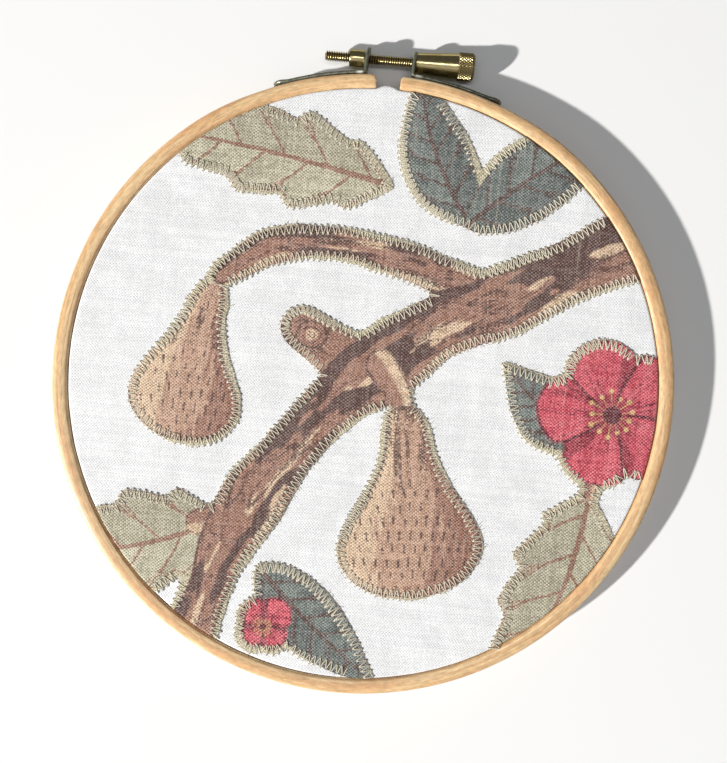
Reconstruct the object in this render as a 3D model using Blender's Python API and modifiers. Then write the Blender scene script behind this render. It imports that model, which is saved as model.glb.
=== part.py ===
"""Applique in a wooden embroidery hoop that lies face up.

Metres, +Z up. The back of the rings lies on z = 0, and the split of the outer
ring, with its screw, is at +Y. The origin is the middle of the outer box.
"""

import math

import bmesh
import bpy
from mathutils import Vector

MM = 0.001
GAP = 0.3

# Wooden rings, in millimetres
INNER_RING_R = 76.2
RING_THICK = 4.4
CLOTH = 1.0
OUTER_RING_IN = INNER_RING_R + GAP + CLOTH + GAP
OUTER_RING_OUT = OUTER_RING_IN + RING_THICK
OUTER_DEPTH = 9.2
OUTER_CORNER = 1.3
SPLIT = 6.4
RING_STEPS = 96

# Heights of the layers
APPLIQUE_TOP = OUTER_DEPTH
APPLIQUE_LOW = APPLIQUE_TOP - CLOTH
GROUND_TOP = APPLIQUE_LOW - GAP
INNER_DEPTH = GROUND_TOP - CLOTH - GAP
INNER_CORNER = 0.9
GROUND_BEND = INNER_CORNER + GAP + CLOTH
GROUND_HEM = 1.2
WINDOW_R = 76.4

# Clamp: straps with ears, nut and thumbscrew, along X
STRAP_THICK = 0.7
STRAP_WIDTH = 6.0
STRAP_REACH = 31.0
STRAP_BEND = 0.9
EAR_SPACE = 11.7
EAR_HEIGHT = 7.6
SCREW_R = 1.35
SCREW_ABOVE_RING = 4.7
SCREW_TAIL = 17.5
HOLE_R = SCREW_R + GAP
NUT_R = 2.15
NUT_LENGTH = 4.1
BARREL_R = 2.5
BARREL_WIDE_R = 3.25
BARREL_LENGTH = 11.4
HEAD_R = 3.6
HEAD_LENGTH = 4.3

EAR_OUT = EAR_SPACE / 2 + STRAP_THICK
CLAMP_Z = OUTER_DEPTH / 2
EAR_TOP = OUTER_RING_OUT + EAR_HEIGHT
SCREW_Y = OUTER_RING_OUT + SCREW_ABOVE_RING
# The rings' centre lies this far below the middle of the box, which takes in the clamp
CENTRE_Y = -(max(EAR_TOP, SCREW_Y + HEAD_R) - OUTER_RING_OUT) / 2

# Bands of the bough, each row a place on its middle line: x, y, half width
BOUGH = [
    (92, 50, 10.5), (70, 43, 10), (52, 34, 8.2), (36, 25, 9.4), (20, 17, 8.2), (5, 6, 10), (-8, -7, 7.4),
    (-19, -21, 7.2), (-27, -34, 8.8), (-35, -52, 6.4), (-40, -70, 7.2), (-44, -90, 7),
]
SIDE_LIMB = [(34, 23, 7), (18, 30, 5), (4, 34, 4.8), (-12, 36, 4.2), (-27, 34, 4.8), (-40, 25, 3.4)]
STUB = [(2, 2, 9), (-10, 9, 6.4), (-17, 13, 5.8)]
LARGE_STALK = [(4, 6, 4), (10, -3, 3), (12, -12, 3)]
LOWER_STALK = [(-28, -36, 3.6), (-40, -40, 3.2)]
SPRAY_STEM = [(60, -12, 3), (62, -22, 2.8), (60, -32, 2.8)]

# Fruits: x and y of the top and of the bottom, the width, and how far the middle bows
LARGE_PEAR = (11, -5, 16, -56, 38, 1.5)
SMALL_PEAR = (-41, 24, -47, -20, 30, -1.5)
# Half width of a pear at shares of its length, from the top
PEAR_PROFILE = [
    (0, 0), (0.02, 0.2), (0.12, 0.34), (0.28, 0.42), (0.45, 0.64),
    (0.62, 0.92), (0.76, 1), (0.9, 0.78), (0.98, 0.36), (1, 0),
]

# Leaves: x and y of the base and of the tip, half width, bow of the midrib, teeth a side
UPPER_LEAF = (4, 52, -68, 63, 14, -1.5, 5)
BOUGH_LEAF = (-34, -39, -88, -50, 16, 4, 4)
SPRAY_SAGE_LEAF = (62, -24, 38, -84, 17, 5, 5)
RIGHT_SLATE_LEAF = (23, 43, 66, 74, 10.5, 2, 0)
LEFT_SLATE_LEAF = (25, 43, 8, 84, 10, 3, 0)
SPRAY_SLATE_LEAF = (62, -12, 36, 9, 9, 2, 0)
LOWER_SLATE_LEAF = (-24, -50, 10, -79, 9, -1, 0)
TOOTH = 0.28

# Round crimson motifs: x and y of the middle, radius, petals
BLOSSOM = (66, -3, 20, 5)
BUD = (-21, -66, 8, 4)
NOTCH = 0.2

BEECH = ("beech", (0.72, 0.50, 0.27), 0.45, 0.0)
COTTON = ("white_cotton", (0.86, 0.86, 0.85), 0.9, 0.0)
PRINT_BROWN = ("print_brown", (0.34, 0.17, 0.10), 0.9, 0.0)
PRINT_SAGE = ("print_sage", (0.40, 0.38, 0.25), 0.9, 0.0)
PRINT_SLATE = ("print_slate", (0.14, 0.15, 0.14), 0.9, 0.0)
PRINT_CRIMSON = ("print_crimson", (0.50, 0.07, 0.10), 0.9, 0.0)
STEEL = ("plated_steel", (0.38, 0.40, 0.36), 0.4, 1.0)
BRASS = ("brass", (0.60, 0.45, 0.18), 0.3, 1.0)


def collection(name):
    made = bpy.data.collections.new(name)
    bpy.context.scene.collection.children.link(made)
    return made


def material(spec):
    name, colour, roughness, metallic = spec
    made = bpy.data.materials.get(name)
    if made is None:
        made = bpy.data.materials.new(name)
        made.use_nodes = True
        shader = made.node_tree.nodes["Principled BSDF"]
        shader.inputs["Base Color"].default_value = (*colour, 1.0)
        shader.inputs["Roughness"].default_value = roughness
        shader.inputs["Metallic"].default_value = metallic
        made.diffuse_color = (*colour, 1.0)
    return made


def add_object(name, data, group, spec=None):
    made = bpy.data.objects.new(name, data)
    group.objects.link(made)
    if spec:
        data.materials.append(material(spec))
    return made


def arc(centre, radius, start, end, steps):
    """Points of an arc, angles in degrees, both ends among them."""
    points = []
    for i in range(steps + 1):
        turn = math.radians(start + (end - start) * i / steps)
        points.append((centre[0] + radius * math.cos(turn), centre[1] + radius * math.sin(turn)))
    return points


def turned(name, profile, group, spec, axis="Z", closed=True, steps=RING_STEPS):
    """Turn a profile of (radius, height) rows in millimetres round Z or X."""
    if axis == "Z":
        points = [(r * MM, 0, h * MM) for r, h in profile]
    else:
        points = [(h * MM, 0, r * MM) for r, h in profile]
    edges = [(i, i + 1) for i in range(len(points) - 1)]
    if closed:
        edges.append((len(points) - 1, 0))
    mesh = bpy.data.meshes.new(name)
    mesh.from_pydata(points, edges, [])
    made = add_object(name, mesh, group, spec)
    screw = made.modifiers.new("turn", "SCREW")
    screw.axis = axis
    screw.angle = math.tau
    screw.steps = steps
    screw.render_steps = steps
    screw.use_merge_vertices = True
    screw.merge_threshold = 0.00001
    screw.use_smooth_shade = True
    return made


def rounded_section(r_in, r_out, low, high, corner, steps):
    """Section of a ring with four rounded corners, clockwise from the top outer one."""
    points = []
    points += arc((r_out - corner, high - corner), corner, 90, 0, steps)
    points += arc((r_out - corner, low + corner), corner, 0, -90, steps)
    points += arc((r_in + corner, low + corner), corner, -90, -180, steps)
    points += arc((r_in + corner, high - corner), corner, 180, 90, steps)
    return points


def cut(target, cutter, operation="DIFFERENCE"):
    boolean = target.modifiers.new(operation.lower(), "BOOLEAN")
    boolean.operation = operation
    boolean.object = cutter
    boolean.solver = "EXACT"


def as_cutter(made):
    made.hide_render = True
    made.display_type = "WIRE"
    return made


def box(name, low, high, group):
    """A plain box between two corners in millimetres."""
    mesh = bpy.data.meshes.new(name)
    shape = bmesh.new()
    bmesh.ops.create_cube(shape, size=1.0)
    size = Vector([(b - a) * MM for a, b in zip(low, high)])
    middle = Vector([(a + b) / 2 * MM for a, b in zip(low, high)])
    bmesh.ops.scale(shape, vec=size, verts=shape.verts)
    bmesh.ops.translate(shape, vec=middle, verts=shape.verts)
    shape.to_mesh(mesh)
    shape.free()
    return add_object(name, mesh, group)


def smooth_run(rows, steps):
    """A smooth run through rows of numbers, with steps points to each stretch."""
    run = []
    last = len(rows) - 1
    for i in range(last):
        a, b, c, d = rows[max(i - 1, 0)], rows[i], rows[i + 1], rows[min(i + 2, last)]
        for step in range(steps):
            t = step / steps
            point = []
            for p, q, r, s in zip(a, b, c, d):
                bend = (2 * p - 5 * q + 4 * r - s) * t * t + (3 * q - p - 3 * r + s) * t**3
                point.append(q + 0.5 * ((r - p) * t + bend))
            run.append(tuple(point))
    run.append(rows[last])
    return run


def band_outline(rows, steps=3):
    """Outline of a band whose half width changes along its middle line, with round ends."""
    run = smooth_run(rows, steps)
    left, right, turns = [], [], []
    for i, (x, y, half) in enumerate(run):
        before, after = run[max(i - 1, 0)], run[min(i + 1, len(run) - 1)]
        turn = math.atan2(after[1] - before[1], after[0] - before[0])
        turns.append(turn)
        left.append((x - half * math.sin(turn), y + half * math.cos(turn)))
        right.append((x + half * math.sin(turn), y - half * math.cos(turn)))
    end = math.degrees(turns[-1])
    start = math.degrees(turns[0])
    cap = arc(run[-1][:2], run[-1][2], end + 60, end - 60, 4)
    tail = arc(run[0][:2], run[0][2], start - 120, start - 240, 4)
    return left + cap + right[::-1] + tail


def along(base, tip, share, side):
    """The point at a share of the way from base to tip, and side to the left of it."""
    run = (tip[0] - base[0], tip[1] - base[1])
    length = math.hypot(*run)
    x = base[0] + run[0] * share - run[1] / length * side
    y = base[1] + run[1] * share + run[0] / length * side
    return x, y


def pear_outline(x_top, y_top, x_low, y_low, width, bow):
    left, right = [], []
    for share, half in smooth_run(PEAR_PROFILE, 2):
        middle = bow * math.sin(math.pi * share)
        left.append(along((x_top, y_top), (x_low, y_low), share, middle + half * width / 2))
        right.append(along((x_top, y_top), (x_low, y_low), share, middle - half * width / 2))
    return left + right[-2:0:-1]


def leaf_outline(x_base, y_base, x_tip, y_tip, half, bow, teeth):
    """A pointed oval round a bowed midrib, with teeth towards its tip where it has them."""
    steps = 5 * teeth if teeth else 14
    left, right = [], []
    for i in range(steps + 1):
        share = i / steps
        middle = bow * math.sin(math.pi * share)
        reach = half * math.sin(math.pi * share**0.75) if 0 < i < steps else 0
        if teeth:
            reach *= 1 - TOOTH * (1 - (share * teeth) % 1)
        left.append(along((x_base, y_base), (x_tip, y_tip), share, middle + reach))
        right.append(along((x_base, y_base), (x_tip, y_tip), share, middle - reach))
    return left + right[-2:0:-1]


def petal_outline(x, y, radius, petals):
    """A round flower whose edge has a notch between each two petals."""
    points = []
    steps = 8 * petals
    for i in range(steps):
        turn = math.tau * i / steps
        reach = radius * (1 - NOTCH + NOTCH * abs(math.sin(petals * turn / 2)) ** 0.5)
        points.append((x + reach * math.cos(turn), y + reach * math.sin(turn)))
    return points


def flat_piece(name, outline, group, spec=None):
    """A flat piece of cloth cut to an outline, as a closed mesh."""
    curve = bpy.data.curves.new(name, "CURVE")
    curve.dimensions = "2D"
    curve.fill_mode = "BOTH"
    curve.extrude = CLOTH * MM / 2
    spline = curve.splines.new("POLY")
    spline.points.add(len(outline) - 1)
    for point, (x, y) in zip(spline.points, outline):
        point.co = (x * MM, y * MM, 0, 1)
    spline.use_cyclic_u = True
    drawn = bpy.data.objects.new(name + "_curve", curve)
    drawn.location = (0, CENTRE_Y * MM, (APPLIQUE_LOW + CLOTH / 2) * MM)
    group.objects.link(drawn)
    bpy.context.view_layer.update()
    graph = bpy.context.evaluated_depsgraph_get()
    mesh = bpy.data.meshes.new_from_object(drawn.evaluated_get(graph))
    shape = bmesh.new()
    shape.from_mesh(mesh)
    bmesh.ops.remove_doubles(shape, verts=shape.verts, dist=0.000001)
    shape.to_mesh(mesh)
    shape.free()
    mesh.materials.clear()
    made = add_object(name, mesh, group, spec)
    made.matrix_world = drawn.matrix_world
    bpy.data.objects.remove(drawn)
    return made


def applique(name, outlines, spec, parts, cutters):
    """One cut-out of the print: its motifs joined, then trimmed to the window of the ring."""
    made = flat_piece(name, outlines[0], parts, spec)
    for i, outline in enumerate(outlines[1:]):
        motif = as_cutter(flat_piece(f"{name}_motif_{i + 1}", outline, cutters))
        cut(made, motif, "UNION")
    cut(made, bpy.data.objects["window_trim"], "INTERSECT")
    return made


def build_rings(parts, cutters):
    outer = turned(
        "outer_hoop",
        rounded_section(OUTER_RING_IN, OUTER_RING_OUT, 0, OUTER_DEPTH, OUTER_CORNER, 3),
        parts,
        BEECH,
    )
    outer.location.y = CENTRE_Y * MM
    low = (-SPLIT / 2, CENTRE_Y + OUTER_RING_IN - 5, -1)
    high = (SPLIT / 2, CENTRE_Y + OUTER_RING_OUT + 5, OUTER_DEPTH + 1)
    cut(outer, as_cutter(box("split_cutter", low, high, cutters)))
    inner = turned(
        "inner_hoop",
        rounded_section(INNER_RING_R - RING_THICK, INNER_RING_R, 0, INNER_DEPTH, INNER_CORNER, 2),
        parts,
        BEECH,
    )
    inner.location.y = CENTRE_Y * MM


def build_ground_cloth(parts):
    """Stretched over the inner ring, bent down at its edge, trimmed short of the back."""
    radius = INNER_RING_R + GAP + CLOTH
    bend = (radius - GROUND_BEND, GROUND_TOP - GROUND_BEND)
    profile = [(0, GROUND_TOP)]
    profile += arc(bend, GROUND_BEND, 90, 0, 4)
    profile.append((radius, GROUND_HEM))
    profile.append((radius - CLOTH, GROUND_HEM))
    profile += arc(bend, GROUND_BEND - CLOTH, 0, 90, 4)
    profile.append((0, GROUND_TOP - CLOTH))
    cloth = turned("ground_cloth", profile, parts, COTTON, closed=False)
    cloth.location.y = CENTRE_Y * MM


def build_appliques(parts, cutters):
    rim = [(WINDOW_R, APPLIQUE_TOP + 1), (WINDOW_R, APPLIQUE_LOW - 1)]
    profile = [(0, APPLIQUE_TOP + 1)] + rim + [(0, APPLIQUE_LOW - 1)]
    trim = as_cutter(turned("window_trim", profile, cutters, None, closed=False))
    trim.location.y = CENTRE_Y * MM
    bough = [
        band_outline(BOUGH),
        band_outline(SIDE_LIMB),
        band_outline(STUB),
        band_outline(LARGE_STALK),
        pear_outline(*LARGE_PEAR),
        pear_outline(*SMALL_PEAR),
        band_outline(LOWER_STALK),
        leaf_outline(*BOUGH_LEAF),
    ]
    applique("applique_bough", bough, PRINT_BROWN, parts, cutters)
    applique("applique_upper_leaf", [leaf_outline(*UPPER_LEAF)], PRINT_SAGE, parts, cutters)
    pair = [leaf_outline(*RIGHT_SLATE_LEAF), leaf_outline(*LEFT_SLATE_LEAF)]
    applique("applique_leaf_pair", pair, PRINT_SLATE, parts, cutters)
    spray = [
        petal_outline(*BLOSSOM),
        leaf_outline(*SPRAY_SLATE_LEAF),
        band_outline(SPRAY_STEM),
        leaf_outline(*SPRAY_SAGE_LEAF),
    ]
    applique("applique_blossom_spray", spray, PRINT_CRIMSON, parts, cutters)
    lower = [leaf_outline(*LOWER_SLATE_LEAF), petal_outline(*BUD)]
    applique("applique_lower_leaf", lower, PRINT_SLATE, parts, cutters)


def strap_path(side):
    """Middle line of a strap from its far end to the ear's top, on the ring's outer face."""
    radius = OUTER_RING_OUT + GAP + STRAP_THICK / 2
    ear_x = EAR_SPACE / 2 + STRAP_THICK / 2
    far = math.degrees(STRAP_REACH / radius)
    near = math.degrees(math.asin((ear_x + STRAP_BEND) / radius))
    points = arc((0, 0), radius, 90 - far, 90 - near, 12)
    foot = (ear_x + STRAP_BEND, points[-1][1] + STRAP_BEND)
    points += arc(foot, STRAP_BEND, 270, 180, 4)[1:]
    rise = EAR_TOP - points[-1][1]
    base = points[-1]
    points += [(base[0], base[1] + rise * i / 6) for i in range(1, 7)]
    return [(side * x, y) for x, y in points]


def strap_rows(path):
    """Rows of x, y and half width: both ends of the strap are rounded."""
    full = STRAP_WIDTH / 2
    lengths = [0.0]
    for a, b in zip(path, path[1:]):
        lengths.append(lengths[-1] + math.dist(a, b))
    rows = []
    for (x, y), run in zip(path, lengths):
        near_end = min(run, lengths[-1] - run)
        inset = max(0.0, 1 - near_end / full)
        rows.append((x, y, max(full * math.sqrt(max(0.0, 1 - inset**2)), 0.35 * full)))
    return rows


def build_strap(name, side, parts, cutters):
    rows = strap_rows(strap_path(side))
    points = []
    for x, y, half in rows:
        points.append((x * MM, y * MM, -half * MM))
        points.append((x * MM, y * MM, half * MM))
    count = len(rows) - 1
    faces = [(2 * i, 2 * i + 1, 2 * i + 3, 2 * i + 2) for i in range(count)]
    if side > 0:
        faces = [face[::-1] for face in faces]
    mesh = bpy.data.meshes.new(name)
    mesh.from_pydata(points, [], faces)
    strap = add_object(name, mesh, parts, STEEL)
    strap.location = (0, CENTRE_Y * MM, CLAMP_Z * MM)
    thick = strap.modifiers.new("thickness", "SOLIDIFY")
    thick.thickness = STRAP_THICK * MM
    thick.offset = 0
    drill = turned(
        name + "_hole",
        [(0, 20), (HOLE_R, 20), (HOLE_R, -20), (0, -20)],
        cutters,
        None,
        axis="X",
        closed=False,
        steps=24,
    )
    drill.location = (0, (CENTRE_Y + SCREW_Y) * MM, CLAMP_Z * MM)
    cut(strap, as_cutter(drill))


def build_nut(parts):
    edge = 0.3
    near = -EAR_OUT - GAP
    far = near - NUT_LENGTH
    profile = [
        (HOLE_R, near), (NUT_R - edge, near), (NUT_R, near - edge),
        (NUT_R, far + edge), (NUT_R - edge, far), (HOLE_R, far),
    ]
    nut = turned("clamp_nut", profile, parts, BRASS, axis="X", steps=32)
    nut.location = (0, (CENTRE_Y + SCREW_Y) * MM, CLAMP_Z * MM)


def build_thumbscrew(parts):
    """Turned in one piece: threaded shank, tapered barrel, and a head with a domed end."""
    edge = 0.3
    barrel = EAR_OUT + GAP
    head = barrel + BARREL_LENGTH
    end = head + HEAD_LENGTH
    profile = [
        (0, end),
        (HEAD_R * 0.55, end - 0.15),
        (HEAD_R - 0.6, end - 0.6),
        (HEAD_R, end - 1.1),
        (HEAD_R, head + edge),
        (HEAD_R - edge, head),
        (BARREL_WIDE_R, head),
        (BARREL_R, barrel + edge),
        (BARREL_R - edge, barrel),
        (SCREW_R, barrel),
        (SCREW_R, edge - SCREW_TAIL),
        (SCREW_R - edge, -SCREW_TAIL),
        (0, -SCREW_TAIL),
    ]
    screw = turned("thumbscrew", profile, parts, BRASS, axis="X", closed=False, steps=32)
    screw.location = (0, (CENTRE_Y + SCREW_Y) * MM, CLAMP_Z * MM)


def main():
    for old in list(bpy.data.objects):
        bpy.data.objects.remove(old, do_unlink=True)
    parts = collection("applique_wall_hanging")
    cutters = collection("cutters")
    build_rings(parts, cutters)
    build_ground_cloth(parts)
    build_appliques(parts, cutters)
    build_strap("strap_left", -1, parts, cutters)
    build_strap("strap_right", 1, parts, cutters)
    build_nut(parts)
    build_thumbscrew(parts)


main()
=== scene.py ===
import math

import bmesh
import bpy
import numpy as np
from mathutils import Matrix, Vector


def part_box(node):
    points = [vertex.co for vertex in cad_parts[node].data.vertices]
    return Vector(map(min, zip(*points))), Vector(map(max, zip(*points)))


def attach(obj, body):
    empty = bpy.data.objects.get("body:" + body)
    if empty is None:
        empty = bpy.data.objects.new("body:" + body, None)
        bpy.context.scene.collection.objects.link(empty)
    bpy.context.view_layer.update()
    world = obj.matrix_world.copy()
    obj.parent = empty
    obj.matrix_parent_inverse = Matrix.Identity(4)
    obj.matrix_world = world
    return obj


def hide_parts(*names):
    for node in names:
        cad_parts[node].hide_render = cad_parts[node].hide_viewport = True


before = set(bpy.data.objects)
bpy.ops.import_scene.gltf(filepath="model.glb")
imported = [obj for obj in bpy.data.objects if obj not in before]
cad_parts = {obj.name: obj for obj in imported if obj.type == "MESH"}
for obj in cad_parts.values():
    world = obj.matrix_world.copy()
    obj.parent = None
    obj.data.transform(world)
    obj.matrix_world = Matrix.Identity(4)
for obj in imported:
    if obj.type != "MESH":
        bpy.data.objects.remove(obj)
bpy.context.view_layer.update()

MM = 0.001


def node_box(name):
    """Lowest and highest corner of a solid, in millimetres."""
    return [[value / MM for value in corner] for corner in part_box(name)]


# Sizes read from the solids, in millimetres
ring_low, ring_high = node_box("outer_hoop")
inner_low, inner_high = node_box("inner_hoop")
screw_low, screw_high = node_box("thumbscrew")
nut_low, nut_high = node_box("clamp_nut")
strap_low, strap_high = node_box("strap_right")
RING_OUT = (ring_high[0] - ring_low[0]) / 2
CENTRE_Y = ring_low[1] + RING_OUT
FACE_WIDE = 4.2
RING_IN = RING_OUT - FACE_WIDE
RING_FACE = ring_high[2]
OUTER_CORNER = 1.25
INNER_CORNER = 0.85
BACK_CORNER = 0.8
CROWN = 0.15
SPLIT = 6.4
END_CORNER = 1.2
BUTT_JOINT = 0.02
DRAWN_IN = 0.45
INNER_OUT = (inner_high[0] - inner_low[0]) / 2
INNER_WIDE = 4.4
INNER_IN = INNER_OUT - INNER_WIDE

# The clamp: bent straps with ears, a nut and a thumbscrew
GAP = 0.3
STRAP_THICK = 0.95
STRAP_OUT = GAP + 0.6
STRAP_WIDTH = strap_high[2] - strap_low[2]
STRAP_REACH = 31.0
STRAP_BEND = 0.9
EAR_SPACE = 11.7
EAR_LEAN = 0.5
EAR_HOLE_R = 1.65
CLAMP_Z = (strap_low[2] + strap_high[2]) / 2
SCREW_Y = (screw_low[1] + screw_high[1]) / 2 - CENTRE_Y
SCREW_Z = (screw_low[2] + screw_high[2]) / 2
SCREW_TAIL = screw_low[0]
SCREW_END = screw_high[0]
SCREW_R = 1.35
THREAD_PITCH = 0.635
THREAD_DEPTH = 0.5
ROD_COLUMNS = 32
BARREL_START = 6.85
BARREL_LENGTH = 11.4
BARREL_R = 2.5
BARREL_FLARE = 0.7
HEAD_R = (screw_high[2] - screw_low[2]) / 2
KNURL_CORE = HEAD_R - 0.2
KNURL_ROWS = 7
KNURLS_AROUND = 30

# The ground cloth, stretched a little below the ring's face
GROUND_TOP = RING_FACE - 0.45
GROUND_THICK = 0.8
GROUND_R = RING_IN - 0.12
GROUND_BEND = 0.7
GROUND_CALM_R = 48
GROUND_HEM = node_box("ground_cloth")[0][2]
APPLIQUE_THICK = 0.32
RIM_R = RING_IN - 0.3
GRID = 0.36
ROUNDING_PASSES = 10

# Motifs of the print, as they are cut: x, y, half width along a band's middle line
BOUGH = [
    (92, 50, 10.5), (70, 43, 10), (52, 34, 8.2), (36, 25, 9.4), (20, 17, 8.2), (5, 6, 10), (-8, -7, 7.4),
    (-19, -21, 7.2), (-27, -34, 8.8), (-35, -52, 6.4), (-40, -70, 7.2), (-44, -90, 7),
]
SIDE_LIMB = [(34, 23, 7), (18, 30, 5), (4, 34, 4.8), (-12, 36, 4.2), (-27, 34, 4.8), (-40, 25, 3.4)]
STUB = [(2, 2, 9), (-10, 9, 6.4), (-17, 13, 5.8)]
LARGE_STALK = [(4, 6, 4), (10, -3, 3), (12, -12, 3)]
LOWER_STALK = [(-28, -36, 3.6), (-40, -40, 3.2)]
SPRAY_STEM = [(60, -12, 3), (62, -22, 2.8), (60, -32, 2.8)]
# Fruits: x and y of the top and of the bottom, the width, and how far the middle bows
LARGE_PEAR = (11, -5, 16, -56, 38, 1.5)
SMALL_PEAR = (-41, 24, -47, -20, 30, -1.5)
PEAR_PROFILE = [
    (0, 0), (0.02, 0.2), (0.12, 0.34), (0.28, 0.42), (0.45, 0.64),
    (0.62, 0.92), (0.76, 1), (0.9, 0.78), (0.98, 0.36), (1, 0),
]
# A pear's dashes stand this far apart, and its calyx at this share of its length
DASH_ROW = 3.6
DASH_COLUMN = 2.9
CALYX_SHARE = 0.955
# Leaves: x and y of the base and of the tip, half width, bow of the midrib, teeth a side
UPPER_LEAF = (4, 52, -68, 63, 14, -1.5, 5)
BOUGH_LEAF = (-34, -39, -88, -50, 16, 4, 4)
SPRAY_SAGE_LEAF = (62, -24, 38, -84, 17, 5, 5)
RIGHT_SLATE_LEAF = (23, 43, 66, 74, 10.5, 2, 0)
LEFT_SLATE_LEAF = (25, 43, 8, 84, 10, 3, 0)
SPRAY_SLATE_LEAF = (62, -12, 36, 9, 9, 2, 0)
LOWER_SLATE_LEAF = (-24, -50, 10, -79, 9, -1, 0)
TOOTH = 0.28
# Round crimson motifs: x and y of the middle, radius, petals
BLOSSOM = (66, -3, 20, 5)
BUD = (-21, -66, 8, 4)
NOTCH = 0.2
# The print's pale ground shows this far in from the cut edge, more or less as it was cut
MARGIN = 0.45
MARGIN_SWAY = 1.5

# Colours as they look in daylight, 0 to 255
CREAM = (228, 214, 184)
UNDYED = (196, 186, 156)
ROSE_TAN = (194, 156, 132)
LIGHT_TAN = (216, 186, 156)
BROWN = (162, 120, 102)
BARK = (98, 70, 64)
RUSSET = (150, 102, 84)
SAGE = (192, 185, 160)
SAGE_SHADE = (170, 163, 140)
SLATE = (120, 127, 122)
SLATE_SHADE = (94, 99, 96)
CRIMSON = (206, 80, 96)
CRIMSON_SHADE = (162, 54, 70)
STAMEN = (226, 196, 132)
THREAD_PALE = (222, 215, 198)
THREAD_MID = (190, 180, 150)
# Painted shade in the grooves between the thread's plies
THREAD_PLY_SHADE = (160, 150, 126)
# Painted shade on the thread where it goes down into a needle hole
THREAD_HOLE_SHADE = (104, 96, 76)
FRAY_PALE = (232, 224, 200)
FRAY_DEEP = (204, 194, 162)
# Turns of the two plies along one stitch
PLY_TURNS = 5.0


# Small tools for meshes, curves and noise
def hashed(i, j, seed):
    """A repeatable number from 0 to 1 for each pair of whole numbers."""
    value = np.sin(i * 127.1 + j * 311.7 + seed * 74.7) * 43758.5453
    return value - np.floor(value)


def soft_noise(x, y, seed):
    """Smooth noise from -1 to 1 with features one unit wide."""
    i, j = np.floor(x), np.floor(y)
    u, v = x - i, y - j
    u, v = u * u * (3 - 2 * u), v * v * (3 - 2 * v)
    near = hashed(i, j, seed) * (1 - u) + hashed(i + 1, j, seed) * u
    far = hashed(i, j + 1, seed) * (1 - u) + hashed(i + 1, j + 1, seed) * u
    return 2 * (near * (1 - v) + far * v) - 1


def ramp(value, low, high):
    """0 below low, 1 above high, and a smooth rise between."""
    t = np.clip((value - low) / (high - low), 0, 1)
    return t * t * (3 - 2 * t)


def arc(centre, radius, start, end, steps):
    """Points of an arc, angles in degrees, both ends among them."""
    turns = np.radians(np.linspace(start, end, steps + 1))
    return [(centre[0] + radius * math.cos(t), centre[1] + radius * math.sin(t)) for t in turns]


def linked(name, data):
    """A new object in the scene."""
    made = bpy.data.objects.new(name, data)
    bpy.context.scene.collection.objects.link(made)
    return made


def new_mesh(name, points, edges, faces):
    """A mesh from points in millimetres round the hoop's centre."""
    mesh = bpy.data.meshes.new(name)
    mesh.from_pydata(((np.asarray(points, float) + (0, CENTRE_Y, 0)) * MM).tolist(), edges, faces)
    return mesh


def mesh_object(name, points, faces):
    """A smooth object from points in millimetres round the hoop's centre."""
    made = linked(name, new_mesh(name, points, [], faces))
    made.data.shade_smooth()
    return made


def evaluated(name, made):
    """The plain mesh that an object's modifiers make, in an object that takes its place."""
    graph = bpy.context.evaluated_depsgraph_get()
    mesh = bpy.data.meshes.new_from_object(made.evaluated_get(graph), depsgraph=graph)
    bpy.data.objects.remove(made)
    mesh.name = name
    mesh.shade_smooth()
    return linked(name, mesh)


def reshape(made, change):
    """Change a mesh with a function of its editable form."""
    shape = bmesh.new()
    shape.from_mesh(made.data)
    change(shape)
    shape.to_mesh(made.data)
    shape.free()


def grid_faces(rows, columns, close_rows=False):
    """Quads between rows of points, each row a closed round with the given number of points."""
    i, j = np.meshgrid(np.arange(rows if close_rows else rows - 1), np.arange(columns), indexing="ij")
    a, b = i * columns + j, i * columns + (j + 1) % columns
    c, d = (i + 1) % rows * columns + (j + 1) % columns, (i + 1) % rows * columns + j
    return np.stack([a, b, c, d], axis=-1).reshape(-1, 4).tolist()


def end_caps(rows, columns):
    """The first and the last row of points, each as one face."""
    return [list(range(columns)), list(range((rows - 1) * columns, rows * columns))]


def store(mesh, name, values):
    """Keep a number or a vector at each of a mesh's points."""
    values = np.asarray(values, np.float32)
    kind, key = ("FLOAT", "value") if values.ndim == 1 else ("FLOAT_VECTOR", "vector")
    mesh.attributes.new(name, kind, "POINT").data.foreach_set(key, values.ravel())


def finish_piece(made, slot, material=None, sharp=None, body="hoop", stands_for=()):
    """Give a piece its finish and body, and hide the solids that it stands for. The slot is not used."""
    if material:
        made.data.materials.append(material)
    if sharp:
        made.data.set_sharp_from_angle(angle=math.radians(sharp))
    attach(made, body)
    if stands_for:
        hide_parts(*stands_for)
    return made


# Nodes: a tree adds them, and what comes out of them takes part in sums as a number does
def summed(operation):
    """A way to write a sum with fields, numbers and vectors in it."""
    return lambda field, *other: field.tree.calc(operation, field, *other)


class Field:
    """What comes out of a node."""

    __add__ = __radd__ = summed("ADD")
    __sub__ = summed("SUBTRACT")
    __mul__ = __rmul__ = summed("MULTIPLY")
    __truediv__ = summed("DIVIDE")
    __mod__ = summed("MODULO")
    __pow__ = summed("POWER")
    __abs__ = summed("ABSOLUTE")

    def __init__(self, tree, socket):
        self.tree, self.socket = tree, socket

    def __getitem__(self, label):
        """Another output of the same node."""
        return Field(self.tree, self.socket.node.outputs[label])

    def span(self, low, high, to_low=0.0, to_high=1.0):
        """A smooth rise between two of its values."""
        values = self, low, high, to_low, to_high
        return self.tree.add("MapRange", *values, interpolation_type="SMOOTHSTEP")

    def noise(self, scale=1.0, detail=2.0, roughness=0.5):
        return self.tree.add("TexNoise", Vector=self, Scale=scale, Detail=detail, Roughness=roughness)

    def between(self, first, second):
        """The mix of two numbers at this share."""
        return self.tree.add("Mix", self, None, first, second)

    def blend(self, first, second):
        """The mix of two colours at this share."""
        return self.tree.add("Mix", self, *[None] * 5, first, second, data_type="RGBA", out=2)


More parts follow.
